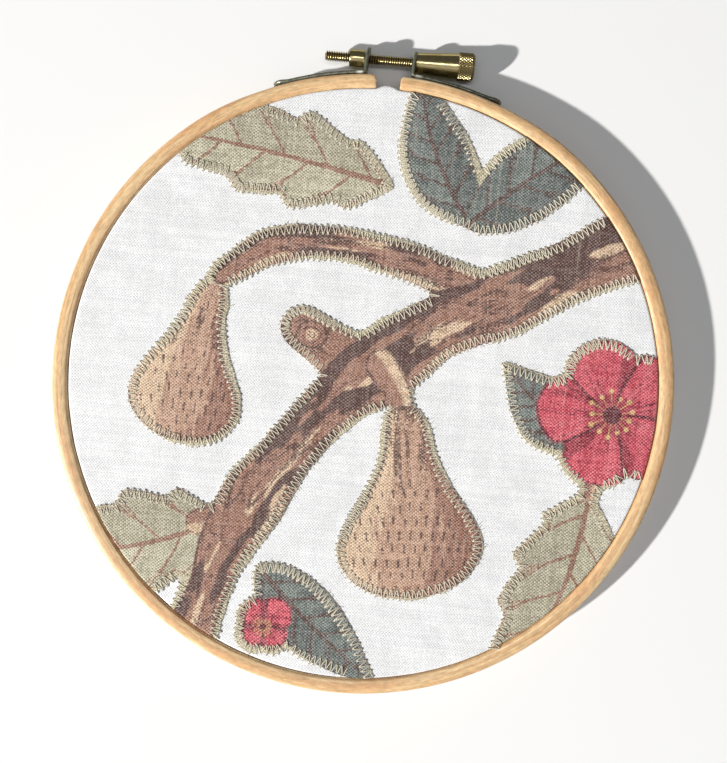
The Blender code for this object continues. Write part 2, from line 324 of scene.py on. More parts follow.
class Tree:
    """A node tree, with short ways to build in it."""

    def __init__(self, data):
        self.data = data

    def link(self, value, socket):
        """Connect a socket to a field, or give it a plain value."""
        if isinstance(value, Field):
            self.data.links.new(value.socket, socket)
        else:
            socket.default_value = value

    def add(self, kind, *values, out=0, **named):
        """A node: values fill its inputs in order, capital names are inputs and the rest are settings."""
        families = ("ShaderNode", "GeometryNode", "FunctionNode", "Node")
        family = next(name for name in families if hasattr(bpy.types, name + kind))
        made = self.data.nodes.new(family + kind)
        inputs = dict(enumerate(values))
        for key, value in named.items():
            if key[0].isupper():
                inputs[key.replace("_", " ")] = value
            else:
                setattr(made, key, value)
        for key, value in inputs.items():
            if value is not None:
                self.link(value, made.inputs[key])
        return Field(self, made.outputs[out])

    def calc(self, operation, *values, out=0):
        """A math node's result, on vectors where one of the values is a vector or a colour."""
        kinds = [value.socket.type if isinstance(value, Field) else type(value) for value in values]
        if not {"VECTOR", "RGBA", tuple}.intersection(kinds):
            return self.add("Math", *values, operation=operation, out=out)
        values = [(value,) * 3 if isinstance(value, float) else value for value in values]
        return self.add("VectorMath", *values, operation=operation, out=out)

    def xyz(self, x=0.0, y=0.0, z=0.0):
        return self.add("CombineXYZ", x, y, z)

    def random(self, low, high, seed):
        return self.add("RandomValue", None, None, low, high, *[None] * 4, seed, data_type="FLOAT", out=1)

    def attribute(self, name, out="Fac"):
        return self.add("Attribute", attribute_name=name, out=out)

    def place(self, turn=0.0):
        """Object coordinates, turned about the upright axis by some degrees."""
        coordinates = self.add("TexCoord")["Object"]
        return self.add("Mapping", Vector=coordinates, Rotation=(0, 0, math.radians(turn)))

    def keep(self, geometry, name, value):
        """A geometry that holds a value at each point under a name."""
        kind = "FLOAT_VECTOR" if value.socket.type == "VECTOR" else "FLOAT"
        return self.add("StoreNamedAttribute", Geometry=geometry, Name=name, Value=value, data_type=kind)

    def put_out(self, *values):
        """Connect the group's outputs in order."""
        result = self.data.nodes.new("NodeGroupOutput")
        for value, socket in zip(values, result.inputs):
            self.link(value, socket)

    def shade(self, **values):
        """Set or connect sockets of the material's shader."""
        shader = self.data.nodes["Principled BSDF"]
        for label, value in values.items():
            self.link(value, shader.inputs[label.replace("_", " ")])

    def bump(self, height, distance, strength):
        self.shade(Normal=self.add("Bump", Height=height, Distance=distance, Strength=strength))


SOCKET_KINDS = {tuple: "Vector", float: "Float", int: "Int", type(None): "Geometry"}


def new_group(kind, name, inputs, outputs):
    """A node group's tree and its inputs, with sockets of the kind of the values given."""
    tree = Tree(bpy.data.node_groups.new(name, kind))
    for way, sockets in (("INPUT", inputs), ("OUTPUT", outputs)):
        for label, value in sockets.items():
            socket_type = "NodeSocket" + SOCKET_KINDS[type(value)]
            socket = tree.data.interface.new_socket(label, in_out=way, socket_type=socket_type)
            if value is not None:
                socket.default_value = value
    return tree, tree.add("GroupInput")


def linear(colour, share=1.0):
    """Linear values of a daylight colour, or of a share of it."""
    values = [channel / 255 for channel in colour]
    return [share * (v / 12.92 if v <= 0.04045 else ((v + 0.055) / 1.055) ** 2.4) for v in values]


def colour_of(colour, share=1.0):
    return (*linear(colour, share), 1.0)


def new_material(name, colour, roughness, metallic=0.0):
    """A material and its tree, with plain values on the shader to start with."""
    made = bpy.data.materials.new(name)
    made.use_nodes = True
    made.diffuse_color = colour
    tree = Tree(made.node_tree)
    tree.shade(Base_Color=colour, Roughness=roughness, Metallic=metallic)
    return made, tree


def plain_weave_group():
    """Threads that pass over and under each other: which lies on top, a height, a tone, a slub."""
    tree, given = new_group(
        "ShaderNodeTree", "plain_weave",
        {"Vector": (0.0, 0.0, 0.0), "Ends a metre": 2000.0, "Picks a metre": 2000.0, "Waver": 0.6},
        {"Warp up": 0.0, "Height": 0.0, "Tone": 0.0, "Slub": 0.0},
    )
    scaled = given["Vector"] * tree.xyz(given["Ends a metre"], given["Picks a metre"])
    drift = scaled.noise(0.06)["Color"]
    place = tree.add("SeparateXYZ", scaled + (drift - (0.5, 0.5, 0.5)) * (given["Waver"] * 4.0))
    x, y = place["X"], place["Y"]
    wave_x, wave_y = [tree.calc("SINE", way * math.pi) for way in (x, y)]
    cell_x, cell_y = [tree.calc("FLOOR", way) for way in (x, y)]
    column = tree.add("TexWhiteNoise", W=cell_x, noise_dimensions="1D")
    row = tree.add("TexWhiteNoise", W=cell_y + 0.37, noise_dimensions="1D")
    knot = tree.add("TexWhiteNoise", Vector=tree.xyz(cell_x, cell_y), noise_dimensions="2D")
    checks = wave_x * wave_y
    over = tree.calc("GREATER_THAN", checks, 0.0)
    ridge_x, ridge_y = abs(wave_x), abs(wave_y)
    height = tree.calc("MAXIMUM", over * ridge_x, ridge_y) * (ridge_x * ridge_y)
    run = (scaled * (0.9, 0.05, 0.0)).noise(1.0, 1.0)
    slub = tree.calc("GREATER_THAN", column, 0.93) * run.span(0.5, 0.62)
    tree.put_out(checks * 0.5 + 0.5, height, over.between(row, column) * 0.5 + knot * 0.5, slub)
    return tree.data


def tarnish_group():
    """Uneven dulling and fine scratches for the metal parts."""
    inputs = {"Vector": (0.0, 0.0, 0.0), "Amount": 0.5}
    tree, given = new_group("ShaderNodeTree", "tarnish", inputs, {"Dull": 0.0, "Scratch": 0.0})
    dull = given["Vector"].noise(420.0, 4.0, 0.6).span(0.38, 0.7) * given["Amount"]
    tree.put_out(dull, (given["Vector"] * (900.0, 9000.0, 9000.0)).noise(1.0, 3.0))
    return tree.data


WEAVE = plain_weave_group()
TARNISH = tarnish_group()


def cotton_material():
    """White cotton in a fine plain weave, with painted shade, a soft grey, between the threads."""
    made, tree = new_material("white_cotton", (0.86, 0.86, 0.86, 1), 0.85)
    vector = tree.place(0.5)
    counts = {"Ends_a_metre": 2580.0, "Picks_a_metre": 2370.0}
    weave = tree.add("Group", node_tree=WEAVE, Vector=vector, Waver=0.6, **counts)
    shade = weave["Warp up"] + weave["Tone"].span(0.0, 1.0, -0.22, 0.22)
    # Painted shade: grey where the threads dip, near white where they lie on top
    colour = shade.span(0.0, 0.75).blend((0.61, 0.615, 0.64, 1), (0.93, 0.93, 0.93, 1))
    cloud = vector.noise(160.0, 3.0).span(0.35, 0.65, 0.93, 1.0)
    tree.shade(Base_Color=colour * cloud, Sheen_Weight=0.15, Specular_IOR_Level=0.2)
    tree.bump(weave["Height"], 0.00006, 0.5)
    return made


def linen_material():
    """Printed linen: dyes with drawn lines over them, with painted shade between the threads and a painted
    highlight where the warp lies on top.
    """
    made, tree = new_material("printed_linen", (0.5, 0.4, 0.3, 1), 0.85)
    counts = {"Ends_a_metre": 2040.0, "Picks_a_metre": 2430.0}
    weave = tree.add("Group", node_tree=WEAVE, Vector=tree.place(0.8), Waver=0.7, **counts)
    bleed = weave["Tone"].span(0.0, 1.0, -0.14, 0.14)
    drawn = (tree.attribute("mark") + bleed).span(-0.14, 0.18, 0.85, 0.0)
    colour = drawn.blend(tree.attribute("ink", "Color"), tree.attribute("mark_ink", "Color"))
    raised_light = weave["Warp up"] + weave["Tone"].span(0.0, 1.0, -0.3, 0.3)
    # Painted shade between the threads and a painted highlight on the raised ones
    colour = colour * raised_light.span(0.05, 0.95, 0.52, 1.34)
    colour = raised_light.span(0.3, 1.0, 0.0, 0.2).blend(colour, (0.8, 0.79, 0.76, 1))
    colour = (weave["Slub"] * 0.16).blend(colour, colour_of(CREAM, 0.9))
    tree.shade(Base_Color=colour, Sheen_Weight=0.1, Specular_IOR_Level=0.25)
    tree.bump(weave["Height"], 0.00008, 0.6)
    return made


def thread_material():
    """Khaki sewing thread of two plies, with painted shade in the grooves between the plies and where it
    enters the cloth.
    """
    made, tree = new_material("stitch_thread", colour_of(THREAD_PALE), 0.6)
    run, place = tree.attribute("run"), tree.place()
    around = tree.add("SeparateXYZ", tree.attribute("round", "Vector"))
    turn = tree.calc("ARCTAN2", around["Y"], around["X"])
    ply = tree.calc("SINE", run * (PLY_TURNS * math.tau) + turn).span(-1.0, 0.6)
    patch = place.noise(130.0).span(0.35, 0.65, 0.0, 0.35)
    # Painted shade near each needle hole, where the thread dives into the cloth
    hole_shade = abs(tree.attribute("turned") - run).span(0.015, 0.12, 0.7, 0.0)
    # Painted shade between the plies; the crests keep the thread's own pale khaki
    colour = ply.blend(colour_of(THREAD_PLY_SHADE), colour_of(THREAD_PALE))
    colour = hole_shade.blend(patch.blend(colour, colour_of(THREAD_MID)), colour_of(THREAD_HOLE_SHADE))
    tree.shade(Base_Color=colour, Sheen_Weight=0.2)
    tree.bump(ply + place.noise(2600.0, 3.0) * 0.5, 0.00004, 0.7)
    return made


def fray_material():
    """Loose linen ends, pale straw, a little darker in places."""
    made, tree = new_material("linen_fray", colour_of(CREAM), 0.8)
    patch = tree.place().noise(400.0).span(0.35, 0.65)
    tree.shade(Base_Color=patch.blend(colour_of(FRAY_PALE), colour_of(FRAY_DEEP)))
    return made


def beech_material():
    """Bent beech: long streaks along the ring, fine pores and a few warm patches."""
    made, tree = new_material("beech", (0.7, 0.45, 0.22, 1), 0.42)
    grain = tree.attribute("grain", "Vector")

    def streaks(along, across, detail, roughness=0.5):
        return (grain * (along, across, across)).noise(1.0, detail, roughness)

    fine = streaks(70.0, 3400.0, 3.0, 0.65)
    pores = streaks(420.0, 5200.0, 2.0).span(0.6, 0.72, 0.0, 0.45)
    patch = streaks(60.0, 260.0, 3.0, 0.6).span(0.46, 0.66, 0.0, 0.55)
    line = streaks(22.0, 1500.0, 1.0).span(0.66, 0.74, 0.0, 0.5)
    broad = streaks(14.0, 900.0, 3.0, 0.6).span(0.36, 0.64)
    colour = broad.blend((0.85, 0.63, 0.355, 1), (0.71, 0.435, 0.212, 1))
    colour = patch.blend(colour, (0.68, 0.355, 0.168, 1))
    colour = fine.span(0.4, 0.66, 0.0, 0.5).blend(colour, (0.60, 0.34, 0.155, 1))
    colour = line.blend(pores.blend(colour, (0.36, 0.19, 0.085, 1)), (0.42, 0.22, 0.1, 1))
    fleck = streaks(420.0, 1300.0, 3.0, 0.7).span(0.32, 0.68, 0.84, 1.12)
    tree.shade(Base_Color=colour * fleck, Roughness=fine.span(0.3, 0.7, 0.32, 0.48))
    tree.bump(fine * 0.6 - pores, 0.00006, 0.6)
    return made


def brass_material():
    """Turned brass, a little tarnished, with fine rings from the lathe, painted shade with soil in its
    hollows, and painted shade on the head's domed end.
    """
    made, tree = new_material("brass", (0.6, 0.45, 0.18, 1), 0.28, 1.0)
    vector, shade_and_soil = tree.place(), tree.attribute("shade_and_soil")
    dull = tree.add("Group", node_tree=TARNISH, Vector=vector, Amount=0.5)
    colour = shade_and_soil.blend(dull.blend((0.7, 0.57, 0.28, 1), (0.4, 0.33, 0.16, 1)), (0.07, 0.045, 0.02, 1))
    rough = shade_and_soil * 0.4 + dull.span(0.0, 0.7, 0.18, 0.3)
    tree.shade(Base_Color=colour, Roughness=rough, Specular_Tint=(0.2, 0.19, 0.13, 1))
    tree.bump((vector * (9000.0, 200.0, 200.0)).noise(), 0.00001, 0.4)
    return made


def steel_material():
    """Plated steel sheet, grey green, with a painted highlight near the fold of each ear."""
    made, tree = new_material("plated_steel", (0.38, 0.4, 0.36, 1), 0.4, 0.6)
    dull = tree.add("Group", node_tree=TARNISH, Vector=tree.place() * 2.2, Amount=0.9)
    # Painted highlight near each ear's fold: pale, less metallic
    bright = tree.attribute("bend_glint") * dull["Scratch"].span(0.3, 0.55)
    colour = bright.blend(dull.blend((0.24, 0.24, 0.18, 1), (0.07, 0.08, 0.05, 1)), (0.9, 0.88, 0.76, 1))
    rough = dull.span(0.0, 0.8, 0.32, 0.55)
    tree.shade(Base_Color=colour, Roughness=rough, Metallic=bright.span(0.0, 1.0, 0.6, 0.15))
    tree.bump(dull["Scratch"], 0.00001, 0.5)
    return made


COTTON = cotton_material()
LINEN = linen_material()
THREAD = thread_material()
FRAY = fray_material()
BEECH = beech_material()
BRASS = brass_material()
STEEL = steel_material()


# Camera, lamps and floor
PICTURE_WIDTH = 727
VIEW_WIDTH = 191.1
CAMERA_AWAY = 200.0
CAMERA_ROLL = 4.8
# How far right of and below the picture's middle the ring's middle is seen, in its pixels
RING_SEEN_RIGHT = -0.3
RING_SEEN_BELOW = 1.6


def place_camera():
    """Straight above the hoop and close to it, with the split turned a little clockwise."""
    roll = math.radians(CAMERA_ROLL)
    across = Vector((math.cos(roll), math.sin(roll), 0))
    upright = Vector((-math.sin(roll), math.cos(roll), 0))
    eye = Vector((0, CENTRE_Y, RING_FACE + CAMERA_AWAY))
    eye += (upright * RING_SEEN_BELOW - across * RING_SEEN_RIGHT) * (VIEW_WIDTH / PICTURE_WIDTH)
    data = bpy.data.cameras.new("camera")
    data.sensor_fit = "HORIZONTAL"
    data.sensor_width = 36.0
    data.lens = data.sensor_width * CAMERA_AWAY / VIEW_WIDTH
    data.clip_start = 0.01
    data.clip_end = 20.0
    camera = linked("camera", data)
    camera.location = eye * MM
    camera.rotation_euler = (0, 0, roll)
    bpy.context.scene.camera = camera


# Each lamp: name, kind, compass turn and height in degrees, metres away, sizes, power, colour
LAMPS = [
    ("low_lamp", "DISK", 209.0, 28.8, 4.0, (0.13, 0.13), 255.0, (1.0, 0.985, 0.96)),
    ("overhead_strip", "RECTANGLE", 270.0, 83.0, 1.5, (1.2, 0.2), 4.9, (0.97, 0.98, 1.0)),
    ("near_panel", "RECTANGLE", 270.0, 56.0, 1.5, (1.6, 0.8), 1.3, (0.97, 0.98, 1.0)),
    ("low_panel", "RECTANGLE", 270.0, 36.0, 1.5, (1.6, 1.3), 1.0, (0.97, 0.98, 1.0)),
]
SKY_STRENGTH = 0.09
SKY_SEEN = 0.85
FLOOR_REACH = 9000.0


def place_lights():
    """A low lamp from the lower left, soft panels above, and a sky that is dim but looks pale."""
    for name, shape, turn, rise, away, size, power, colour in LAMPS:
        turn, rise = math.radians(turn), math.radians(rise)
        way = Vector((math.cos(turn) * math.cos(rise), math.sin(turn) * math.cos(rise), math.sin(rise)))
        data = bpy.data.lights.new(name, "AREA")
        data.shape = shape
        data.size, data.size_y = size
        data.energy = power
        data.color = colour
        lamp = linked(name, data)
        lamp.location = way * away
        lamp.rotation_euler = way.to_track_quat("Z", "Y").to_euler()
    world = bpy.data.worlds.new("pale_sky")
    world.use_nodes = True
    sky, tree = world.node_tree.nodes["Background"], Tree(world.node_tree)
    sky.inputs["Color"].default_value = (0.95, 0.98, 1.0, 1)
    seen = tree.add("LightPath", out="Is Camera Ray")
    tree.link(seen.span(0.0, 1.0, SKY_STRENGTH, SKY_SEEN), sky.inputs["Strength"])
    bpy.context.scene.world = world


def place_floor():
    """A plain pale floor, level with the back of the rings."""
    corners = [(x * FLOOR_REACH, y * FLOOR_REACH, 0) for x, y in ((-1, -1), (1, -1), (1, 1), (-1, 1))]
    floor = linked("floor", new_mesh("floor", corners, [], [(0, 1, 2, 3)]))
    floor.data.materials.append(new_material("pale_floor", (0.86, 0.86, 0.855, 1), 0.9)[0])


place_camera()
place_lights()
place_floor()
bpy.context.scene.view_settings.view_transform = "Standard"
bpy.context.scene.view_settings.look = "None"


# Beech rings
def ring_section(r_in, r_out, low, high, in_corner, out_corner, crown=0.0):
    """Section with its upper face crowned and its corners rounded, as radius and height."""
    points = []
    for centre, corner, start, end in [
        ((r_out - out_corner, high - crown - out_corner), out_corner, 84, 0),
        ((r_out - BACK_CORNER, low + BACK_CORNER), BACK_CORNER, 0, -90),
        ((r_in + BACK_CORNER, low + BACK_CORNER), BACK_CORNER, -90, -180),
        ((r_in + in_corner, high - crown - in_corner), in_corner, 180, 96),
    ]:
        points += arc(centre, corner, start, end, 9)
    first, last = points[-1], points[0]
    for s in np.linspace(0, 1, 8)[1:-1]:
        r = first[0] + (last[0] - first[0]) * s
        points.append((r, first[1] + (last[1] - first[1]) * s + crown * 4 * s * (1 - s)))
    return points


def beech_ring(name, section, start, end, steps, waver, stands_for, seed, corner, pull=0.0):
    """A strip of beech bent round, its two ends cut square and drawn in by the pull of the straps."""
    section = np.array(section)
    middle = section.mean(axis=0)
    near = math.degrees(corner / middle[0]) * np.array([0.0, 0.04, 0.15, 0.33, 0.6])
    between = np.linspace(start + near[-1] * 2, end - near[-1] * 2, steps)
    turns = np.radians(np.concatenate([start + near, between, end - near[::-1]]))
    points, grain = [], []
    for turn in turns:
        inside = min(turn - turns[0], turns[-1] - turn) * middle[0]
        short = 1 - min(1.0, inside / corner)
        run = middle + (section - middle) * (1 - 0.05 * short**4)
        outer = np.clip((run[:, 0] - middle[0]) / (section[:, 0].max() - middle[0]), 0, 1)
        run[:, 0] -= corner * (1 - math.sqrt(1 - short**2)) * outer
        wobble = waver * soft_noise(np.array(turn * 1.6), np.array(0.5), seed)
        thick = 0.5 * waver * soft_noise(np.array(turn * 3.1), np.array(7.5), seed)
        radius = run[:, 0] + wobble + thick * np.sign(run[:, 0] - middle[0])
        radius = radius - pull * outer * (1 - ramp(inside, STRAP_REACH * 0.9, STRAP_REACH * 1.5))
        height = run[:, 1]
        points.append(np.column_stack([radius * math.cos(turn), radius * math.sin(turn), height]))
        along = np.full(len(run), turn * middle[0])
        grain.append(np.column_stack([along, radius - middle[0] + seed, height]))
    count, rows = len(section), len(turns)
    near_end, far_end = end_caps(rows, count)
    faces = [face[::-1] for face in grid_faces(rows, count)] + [near_end, far_end[::-1]]
    made = mesh_object(name, np.concatenate(points), faces)
    store(made.data, "grain", np.concatenate(grain) * MM)
    finish_piece(made, "beech", BEECH, 50, stands_for=stands_for)


def build_rings():
    half_split = math.degrees(SPLIT / 2 / ((RING_IN + RING_OUT) / 2))
    outer = ring_section(RING_IN, RING_OUT, 0, RING_FACE, INNER_CORNER, OUTER_CORNER, CROWN)
    beech_ring(
        "outer_ring", outer, 90 + half_split, 450 - half_split, steps=540, waver=0.12,
        stands_for=["outer_hoop"], seed=3, corner=END_CORNER, pull=DRAWN_IN,
    )
    inner = ring_section(INNER_IN, INNER_OUT, 0, GROUND_TOP - GROUND_THICK - 0.1, BACK_CORNER, BACK_CORNER)
    beech_ring(
        "inner_ring", inner, -59.99, 299.99, steps=480, waver=0.08,
        stands_for=["inner_hoop"], seed=11, corner=BUTT_JOINT,
    )


build_rings()


# Stretched ground cloth
def ground_height(x, y):
    """Height of the cloth's upper face: near flat, with fine pulls towards the rim."""
    radius = np.hypot(x, y)
    turn = np.arctan2(y, x)
    near_rim = ramp(radius, GROUND_CALM_R, RING_IN)
    pulls = soft_noise(turn * 26, radius * 0.03, 5) * (0.5 + 0.5 * soft_noise(turn * 2.2, radius * 0, 8))
    sway = 0.12 * soft_noise(x * 0.035 + 9, y * 0.035, 2)
    pucker = 0.035 * soft_noise(x * 0.22, y * 0.22, 4)
    return GROUND_TOP + 0.09 * pulls * near_rim + (sway + pucker) * (1 - near_rim)


def cloth_face(x, y):
    """Height of the upper face, with its bend down inside the outer ring."""
    start = GROUND_R - GROUND_BEND
    over = np.clip((np.hypot(x, y) - start) / GROUND_BEND, 0, 1)
    return ground_height(x, y) - GROUND_BEND * (1 - np.sqrt(1 - over**2))


def build_ground():
    """The cloth over the inner ring, down between the rings, and its cut edge at the back."""
    columns = 600
    turns = np.linspace(0, math.tau, columns, endpoint=False)
    off_split = np.abs((turns - math.pi / 2 + math.pi) % math.tau - math.pi) * RING_IN
    bulge = 0.9 * (1 - ramp(off_split, 0.6, SPLIT / 2 + 0.2))
    bend = np.radians(np.arange(10, 90, 10))
    top = [
        *np.linspace(1.5, GROUND_CALM_R, 26),
        *np.linspace(GROUND_CALM_R + 1.5, GROUND_R - GROUND_BEND, 24),
        *(GROUND_R - GROUND_BEND + GROUND_BEND * np.sin(bend)),
    ]
    rows = []
    for r in top:
        x, y = r * np.cos(turns), r * np.sin(turns)
        out = 1 + bulge * ramp(r, GROUND_R - GROUND_BEND - 3, GROUND_R) / r
        rows.append(np.column_stack([x * out, y * out, cloth_face(x, y)]))
    hem = GROUND_HEM + 0.3 * soft_noise(turns * 9, turns * 0, 6)
    inner_r = GROUND_R - GROUND_THICK
    under = GROUND_TOP - GROUND_THICK
    for r, z in [
        (GROUND_R, GROUND_TOP - GROUND_BEND - 0.2), (GROUND_R, hem + 2.5), (GROUND_R, hem),
        (inner_r, hem), (inner_r, hem + 2.5), (inner_r, under - 0.6), (inner_r - 0.6, under),
    ]:
        wide = r + bulge * (0.8 if r == GROUND_R else 0)
        rows.append(np.column_stack([wide * np.cos(turns), wide * np.sin(turns), z + 0 * turns]))
    for r in np.linspace(inner_r - 2, 3, 36):
        x, y = r * np.cos(turns), r * np.sin(turns)
        rows.append(np.column_stack([x, y, ground_height(x, y) - GROUND_THICK]))
    points = np.concatenate([*rows, [[0, 0, ground_height(0.0, 0.0)]], [[0, 0, under]]])
    faces = [face[::-1] for face in grid_faces(len(rows), columns)]
    top_pole, low_pole = len(points) - 2, len(points) - 1
    last = (len(rows) - 1) * columns
    for j in range(columns):
        k = (j + 1) % columns
        faces.append((top_pole, j, k))
        faces.append((low_pole, last + k, last + j))
    made = mesh_object("ground_cotton", points, faces)
    finish_piece(made, "white_cotton", COTTON, stands_for=["ground_cloth"])


build_ground()


# Places within a motif
def smooth_run(rows, steps):
    """A smooth run through rows of numbers, with steps points to each stretch."""
    rows = np.array(rows, float)
    padded = np.vstack([rows[:1], rows, rows[-1:]])
    t = np.arange(steps)[:, None] / steps
    run = []
    for a, b, c, d in zip(padded, padded[1:], padded[2:], padded[3:]):
        bend = (2 * a - 5 * b + 4 * c - d) * t**2 + (3 * b - a - 3 * c + d) * t**3
        run.append(b + 0.5 * ((c - a) * t + bend))
    return np.vstack([*run, rows[-1:]])


def band_place(x, y, rows):
    """Distance past a band's edge, the way along it, the way off its middle, and its half width."""
    run = smooth_run(rows, 6)
    edge, way = np.full(x.shape, 1e9), np.zeros(x.shape)
    side, half = np.zeros(x.shape), np.ones(x.shape)
    start = 0.0
    for (ax, ay, a_half), (bx, by, b_half) in zip(run, run[1:]):
        ex, ey = bx - ax, by - ay
        length = math.hypot(ex, ey)
        t = np.clip(((x - ax) * ex + (y - ay) * ey) / length**2, 0, 1)
        off = np.hypot(x - ax - ex * t, y - ay - ey * t)
        wide = a_half + (b_half - a_half) * t
        nearer = off - wide < edge
        turned = np.sign(ex * (y - ay) - ey * (x - ax))
        edge = np.where(nearer, off - wide, edge)
        way = np.where(nearer, start + t * length, way)
        side = np.where(nearer, turned * off, side)
        half = np.where(nearer, wide, half)
        start += length
    return edge, way, side, half


def axis_place(x, y, ends, bow):
    """Share of the way from one end to the other, the way to the left of a bowed line, its length."""
    base_x, base_y, tip_x, tip_y = ends
    run_x, run_y = tip_x - base_x, tip_y - base_y
    length = math.hypot(run_x, run_y)
    share = ((x - base_x) * run_x + (y - base_y) * run_y) / length**2
    side = ((y - base_y) * run_x - (x - base_x) * run_y) / length
    return share, side - bow * np.sin(math.pi * np.clip(share, 0, 1)), length


def spine_outline(ends, bow, shares, reach):
    """Closed outline round a bowed line, from its reach at shares of the way."""
    base_x, base_y, tip_x, tip_y = ends
    run_x, run_y = tip_x - base_x, tip_y - base_y
    length = math.hypot(run_x, run_y)
    sides = []
    for sign in (1, -1):
        off = bow * np.sin(math.pi * shares) + sign * reach
        sides.append(np.stack([
            base_x + run_x * shares - run_y / length * off,
            base_y + run_y * shares + run_x / length * off,
        ], axis=-1))
    return np.vstack([sides[0], sides[1][-2:0:-1]])


def leaf_outline(leaf):
    *ends, half, bow, teeth = leaf
    steps = 5 * teeth if teeth else 28
    shares = np.arange(steps + 1) / steps
    reach = half * np.sin(math.pi * shares**0.75)
    reach[[0, -1]] = 0
    if teeth:
        reach *= 1 - TOOTH * (1 - (shares * teeth) % 1)
    return spine_outline(ends, bow, shares, reach)


def pear_outline(pear):
    *ends, width, bow = pear
    profile = smooth_run(PEAR_PROFILE, 5)
    return spine_outline(ends, bow, profile[:, 0], profile[:, 1] * width / 2)


def petal_outline(flower):
    x, y, radius, petals = flower
    turns = np.linspace(0, math.tau, 16 * petals, endpoint=False)
    reach = radius * (1 - NOTCH + NOTCH * np.abs(np.sin(petals * turns / 2)) ** 0.5)
    return np.column_stack([x + reach * np.cos(turns), y + reach * np.sin(turns)])


def outline_edge(x, y, outline):
    """Signed distance from points to a closed outline, negative inside."""
    best, inside = np.full(x.shape, 1e9), np.zeros(x.shape, bool)
    for (ax, ay), (bx, by) in zip(outline, np.roll(outline, -1, axis=0)):
        ex, ey = bx - ax, by - ay
        t = np.clip(((x - ax) * ex + (y - ay) * ey) / max(ex * ex + ey * ey, 1e-9), 0, 1)
        best = np.minimum(best, (x - ax - ex * t) ** 2 + (y - ay - ey * t) ** 2)
        if ay != by:
            inside ^= ((ay > y) != (by > y)) & (x < ex * (y - ay) / ey + ax)
    return np.where(inside, -1, 1) * np.sqrt(best)


# The print: flat dyes with drawn lines over them
class Print:
    """Colour and drawn marks of a cut-out's upper face, a value for each of its points."""

    def __init__(self, x, y):
        self.x, self.y = x, y
        self.ink = np.tile(linear(UNDYED), (len(x), 1))
        self.mark = np.full(len(x), 2.0)
        self.mark_ink = np.tile(linear(BARK), (len(x), 1))
        self.margin = MARGIN + MARGIN_SWAY * soft_noise(x * 0.07 + 3, y * 0.07, 17)

    def start(self, edge, colour, margins=1):
        """Cover what lies under a motif with its ground colour, short of the pale margin."""
        edge = edge + self.margin * margins
        self.inside = ramp(-edge, -0.2, 0.2)
        self.fill(1, colour)
        self.mark = np.where(edge < 0, 2.0, self.mark)
        return edge

    def fill(self, share, colour):
        """Dye a share of what lies inside the motif."""
        self.ink += (self.inside * share)[:, None] * (np.array(linear(colour)) - self.ink)

    def draw(self, colour, *distances):
        """A mark where all of the distances are below zero."""
        distance = np.maximum.reduce(distances)
        nearer = distance < self.mark
        self.mark = np.where(nearer, distance, self.mark)
        self.mark_ink[nearer] = linear(colour)

    def outline(self, edge, colour, width, seed):
        """A hand-drawn line just inside a motif's edge, thick and thin by turns."""
        swell = width * (0.75 + 0.6 * soft_noise(self.x * 0.16, self.y * 0.16, seed))
        self.draw(colour, np.abs(edge + width) - swell)


def paint_bark(sheet, band, dyes, seed):
    """A limb: brown with dark plates on its lower side, pale streaks and lines that follow it."""
    base, dark, pale = dyes
    edge, way, side, half = band_place(sheet.x, sheet.y, band)
    across = side / half
    edge = sheet.start(edge, base)

    def patches(step, along, wide, share, fine_along, fine_wide):
        """Noise along the limb with finer noise over it."""
        fine = share * soft_noise(way * fine_along, across * fine_wide, seed + step + 1)
        return soft_noise(way * along, across * wide, seed + step) + fine

    plates = patches(0, 0.075, 2.2, 0.5, 0.22, 5)
    shade = ramp(plates + 0.75 * ramp(-across, 0.1, 0.9), 0.42, 0.52)
    streaks = patches(2, 0.06, 3.5, 0.4, 0.3, 8)
    light = ramp(streaks - 0.4 * ramp(-across, 0, 1), 0.38, 0.48)
    sheet.fill(light, pale)
    sheet.fill(shade, dark)
    flow = soft_noise(way * 0.05, side * 0.42, seed + 4)
    sheet.draw(dark, np.abs(flow) * 2.2 - 0.16, edge + 0.3)
    second = soft_noise(way * 0.09, side * 0.6 + 4, seed + 5)
    sheet.draw(dark, np.abs(second) * 1.6 - 0.08, edge + 0.3)
    sheet.outline(edge, dark, 0.34, seed + 6)


def paint_twig(sheet, band, dyes, seed):
    """A thin stalk: one flat dye between two drawn lines."""
    base, dark, pale = dyes
    edge, _, side, half = band_place(sheet.x, sheet.y, band)
    edge = sheet.start(edge, base)
    sheet.fill(ramp(side / half, 0.0, 0.3), pale)
    sheet.outline(edge, dark, 0.3, seed)


def paint_cut_end(sheet, place, radius, dyes):
    """The sawn end of a limb, with its rings."""
    base, dark, pale = dyes
    far = np.hypot(sheet.x - place[0], (sheet.y - place[1]) * 1.15)
    sheet.start(far - radius, pale, margins=0)
    sheet.fill(ramp(far, radius * 0.3, radius * 0.5), base)
    rings = np.abs((far * 0.9 + 0.3 * soft_noise(sheet.x, sheet.y, 3)) % 1.5 - 0.75) - 0.17
    sheet.draw(dark, rings, far - radius)
    sheet.draw(dark, np.abs(far - radius) - 0.34)


